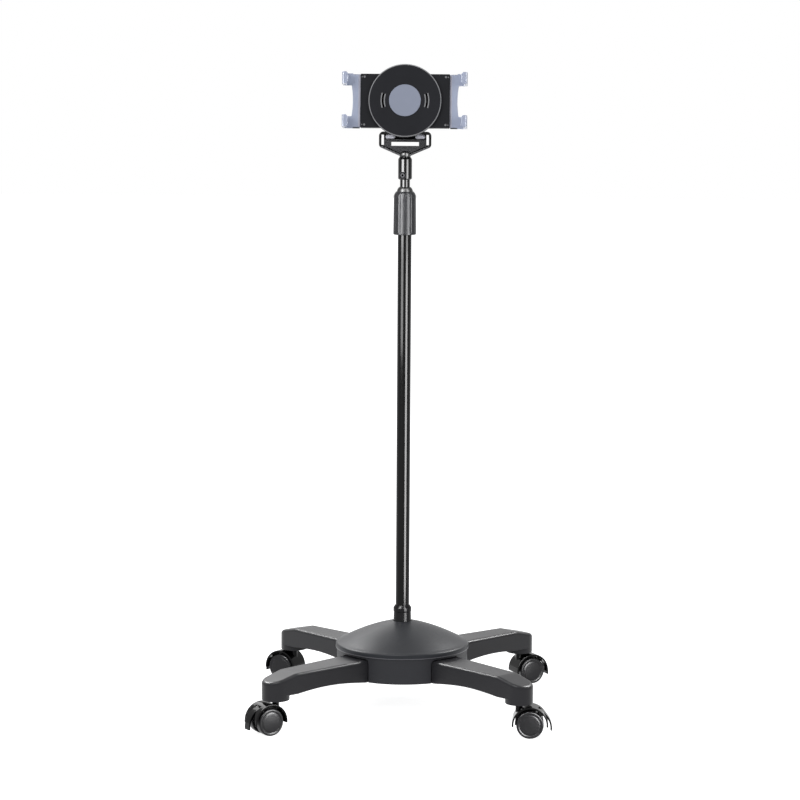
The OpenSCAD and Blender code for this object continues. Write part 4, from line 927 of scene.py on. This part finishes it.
def lip_corner(e):
    """An upright edge at a hook's lip."""
    a, b = (v.co for v in e.verts)
    return (a - b).xy.length < 1e-5 and min(a.z, b.z) > LIP_N * MM


def clamp_arm(node, side):
    bm = moved(merged(node), HOLDER.inverted())
    raise_strip(bm, side)
    ease(bm, 1.6, 50, 4, long_edge)
    ease(bm, 1.6, 40, 3, lip_corner)
    ease(bm, 0.55, 50)
    for f in bm.faces:
        if f.normal.z > 0.9 and side * f.calc_center_median().x < (STRIP_OUT + 0.05) * MM:
            f.material_index = 1
    back = [(side * x, DISC_V + v) for x, v in ((72, -43.4), (83, -43.4), (83, 42.9), (72, 42.9))]
    return joined(bm, painted(punched([back], WING_BACK - 0.8, WING_BACK), 2))


for side, where in ((1, "right"), (-1, "left")):
    settle(clamp_arm("arm_" + where, side), "clamp_arm_" + where, "arm", ["arm_" + where], HOLDER,
           looks=["arm", "strip", "cradle"])

# %% [markdown]
# ## Turntable disc and pad
# The tablet lies against a matt disc with a grey rubber pad. The disc's bevel and the sloping lips of its
# two arc slots are painted light grey as a highlight, and the slits are painted near-black as shade. Slots
# that follow an arc are awkward to cut with a boolean. On a turned disc the faces already follow the arc,
# so the points between two radii are lowered, which slopes the lips, and the faces between them are
# extruded down for the slit.

# %% Disc
DISC = HOLDER @ Matrix.Translation((0, DISC_V * MM, 0))
BEVEL, LIP_IN, SLIT_R, LIP_OUT = (56.1, 57.75), (31.7, 33.6), (33.6, 36.8), (36.8, 38.7)
SLOT_SHARE, LIP_DROP, SLIT_DROP = math.sin(math.radians(18)), 1.1, 2.8
outline = [(0, 26), (56.9, 26), (57.7, 26.3), (57.9, 27), (57.9, 31.3), (57.7, 31.9), (56.3, 32.9)]
outline += [(r, 33) for r in (55.8, 48, LIP_OUT[1], LIP_OUT[0], LIP_IN[1], LIP_IN[0], 20, 0)]
disc = turned(outline, 160)


def on_disc(f, between):
    """A face of the disc's front between two radii in millimetres."""
    return f.normal.z > 0.3 and between[0] < f.calc_center_median().xy.length / MM < between[1]


def in_slot(f):
    """A face within the sweep of the two arc slots."""
    middle = f.calc_center_median()
    return abs(middle.y) < SLOT_SHARE * middle.xy.length


# The bevel and the slot lips get the light grey finish: a painted highlight.
for f in disc.faces:
    painted_highlight = on_disc(f, BEVEL) or in_slot(f) and (on_disc(f, LIP_IN) or on_disc(f, LIP_OUT))
    f.material_index = 1 if painted_highlight else 0
slits = [f for f in disc.faces if in_slot(f) and on_disc(f, SLIT_R)]
for v in {v for f in slits for v in f.verts}:
    v.co.z -= LIP_DROP * MM
low = points_of(bmesh.ops.extrude_face_region(disc, geom=slits)["geom"])
bmesh.ops.translate(disc, vec=(0, 0, -SLIT_DROP * MM), verts=low)
bmesh.ops.delete(disc, geom=[f for f in slits if f.is_valid], context="FACES_ONLY")
# The slit's walls and floor get the near-black finish: painted shade in the recess.
for f in (f for v in low for f in v.link_faces):
    f.material_index = 2
settle(disc, "turntable_face", "disc", ["turntable_disc"], DISC, sharp=25, looks=["disc", "rim", "slit"])

# %% Pad
outline = [(0, 33), (25.2, 33), (25.2, 33.8), (25.05, 34.05), (24.7, 34.2), (12, 34.2), (0, 34.2)]
settle(turned(outline, 128), "rest_pad", "pad", ["disc_pad"], DISC)

# %% [markdown]
# ## Casters
# Each caster has two crowned wheels, a hood over their treads with a slot in the middle, and a brake
# lever that comes out through the slot and curls away from the hood. The wheels are turned. The hood
# is a line spun round the axle, with the slot's faces removed before the wall gets its thickness, so
# that the slot has walls too. The lever is spun as well, and its points then move outwards as it unwinds.

# %% Wheels
WHEEL_R, WHEEL_IN, WHEEL_OUT, TRAIL = 21.5, 6.3, 18.3, 17.5
RIM_FACE = ((21.5, 2.4), (21.35, 1.5), (20.9, 0.8), (20.2, 0.35), (19.4, 0.2), (18.2, 0.2), (17.6, 0.4),
            (16.9, 1.0), (16.2, 1.05), (15.6, 0.8), (14.9, 0.45), (13.5, 0.3))


def wheel():
    """A hollow wheel with a raised tread rim, a step and a crowned middle."""
    face = WHEEL_OUT
    outline = [(2.55, WHEEL_IN), (5.95, WHEEL_IN), (5.95, face - 4), (17, face - 4.5), (17, WHEEL_IN)]
    outline += [(20.7, WHEEL_IN), (21.2, WHEEL_IN + 0.3), (21.5, WHEEL_IN + 1)]
    outline += [(r, face - in_by) for r, in_by in RIM_FACE]
    outline += [(9, face), (4, face + 0.2), (0, face + 0.3), (0, face - 2.6), (2.55, face - 2.6)]
    return turned(outline, 96, closed=True)


# %% Hood and web
HOOD_R, HOOD_WALL, HOOD_HALF, HOOD_START, HOOD_SWEEP = 25.9, 2.7, 18.3, -6, 192
SLOT_HALF, SLOT_END = 8.0, 63.5


def over_the_slot(f):
    """A face of the hood where the lever comes out."""
    middle = f.calc_center_median()
    return (abs(middle.z) < SLOT_HALF * MM and middle.x > 0
            and math.degrees(math.atan2(middle.y, middle.x)) < SLOT_END)


def hood():
    bm = bmesh.new()
    verts = [bm.verts.new((HOOD_R * MM, 0, w * MM)) for w in (-HOOD_HALF, -SLOT_HALF, SLOT_HALF, HOOD_HALF)]
    edges = [bm.edges.new(pair) for pair in zip(verts, verts[1:])]
    turn = Matrix.Rotation(math.radians(HOOD_START), 3, "Z")
    bmesh.ops.rotate(bm, cent=(0, 0, 0), matrix=turn, verts=verts)
    bmesh.ops.spin(bm, geom=verts + edges, cent=(0, 0, 0), axis=(0, 0, 1), angle=math.radians(HOOD_SWEEP),
                   steps=64)
    bmesh.ops.delete(bm, geom=[f for f in bm.faces if over_the_slot(f)], context="FACES")
    bmesh.ops.recalc_face_normals(bm, faces=bm.faces[:])
    first = bm.faces[:][0]
    if first.normal.dot(first.calc_center_median()) > 0:
        bmesh.ops.reverse_faces(bm, faces=bm.faces[:])
    bmesh.ops.solidify(bm, geom=bm.faces[:], thickness=HOOD_WALL * MM)
    bmesh.ops.recalc_face_normals(bm, faces=bm.faces[:])
    return ease(bm, 0.5, 50)


def web():
    """The wall between the wheels, its bead under the hood, and the hub on the axle."""
    plate = turned([(0.1, -3), (21, -3), (21, 3), (0.1, 3)], 52, closed=True, start=30, sweep=156)
    bead = turned([(20, -5.9), (23.7, -5.9), (23.7, 5.9), (20, 5.9)], 40, closed=True, start=65, sweep=121)
    hub = turned([(0, -5.9), (8, -5.9), (8, 5.9), (0, 5.9)], 64)
    return joined(plate, bead, ease(hub, 0.5))


# %% Brake lever
LEVER_START, LEVER_SWEEP, LEVER_SPREAD, LEVER_THIN, LEVER_MID = 62.0, 79.0, 0.13, 0.23, 24.3
CHEEK = [(10, 14.8), (12.4, 15.8), (13.5, 21.3), (22.5, 13), (15.8, 12.4), (14.8, 10), (12.4, 9), (10, 10)]


def lever():
    bm = turned([(22.8, -7), (26.3, -7), (26.3, 7), (22.8, 7)], 50, closed=True,
                start=LEVER_START - LEVER_SWEEP, sweep=LEVER_SWEEP)
    for v in bm.verts:
        unwound = LEVER_START - math.degrees(math.atan2(v.co.y, v.co.x))
        radius = v.co.xy.length / MM
        thin = 1 - LEVER_THIN * unwound / LEVER_SWEEP
        wanted = LEVER_MID + (radius - LEVER_MID) * thin + LEVER_SPREAD * unwound
        v.co.x, v.co.y = v.co.x * wanted / radius, v.co.y * wanted / radius
    ease(bm, 0.45, 50)
    cheeks = [ease(punched([CHEEK], *span), 0.3) for span in ((3.4, 5.6), (-5.6, -3.4))]
    return joined(bm, *cheeks)


# %% Four casters
AXLE = Matrix.Translation((TRAIL * MM, 0, WHEEL_R * MM)) @ Matrix.Rotation(math.radians(90), 4, "X")
NECK = [(0, 22.5), (5.5, 22.5), (5.5, 51.2), (5.1, 51.7), (0, 51.7)]
for i, (code, yaw) in enumerate((("br", 25), ("bl", 152), ("fl", 215), ("fr", 0))):
    side = math.radians(45 + 90 * i)
    place = Matrix.Translation((STEM_R * MM * math.cos(side), STEM_R * MM * math.sin(side), 0))
    caster = place @ Matrix.Rotation(math.radians(yaw), 4, "Z")
    settle(wheel(), f"wheel_{code}_a", "wheel", [f"caster_{code}_wheel_a"], caster @ AXLE)
    other = caster @ AXLE @ Matrix.Rotation(math.pi, 4, "X")
    settle(wheel(), f"wheel_{code}_b", "wheel", [f"caster_{code}_wheel_b"], other)
    shell = joined(moved(joined(hood(), web()), AXLE), turned(NECK, 64))
    settle(shell, f"hood_{code}", "caster", [f"caster_{code}_housing"], caster)
    settle(lever(), f"brake_lever_{code}", "caster", [f"caster_{code}_lever"], caster @ AXLE)
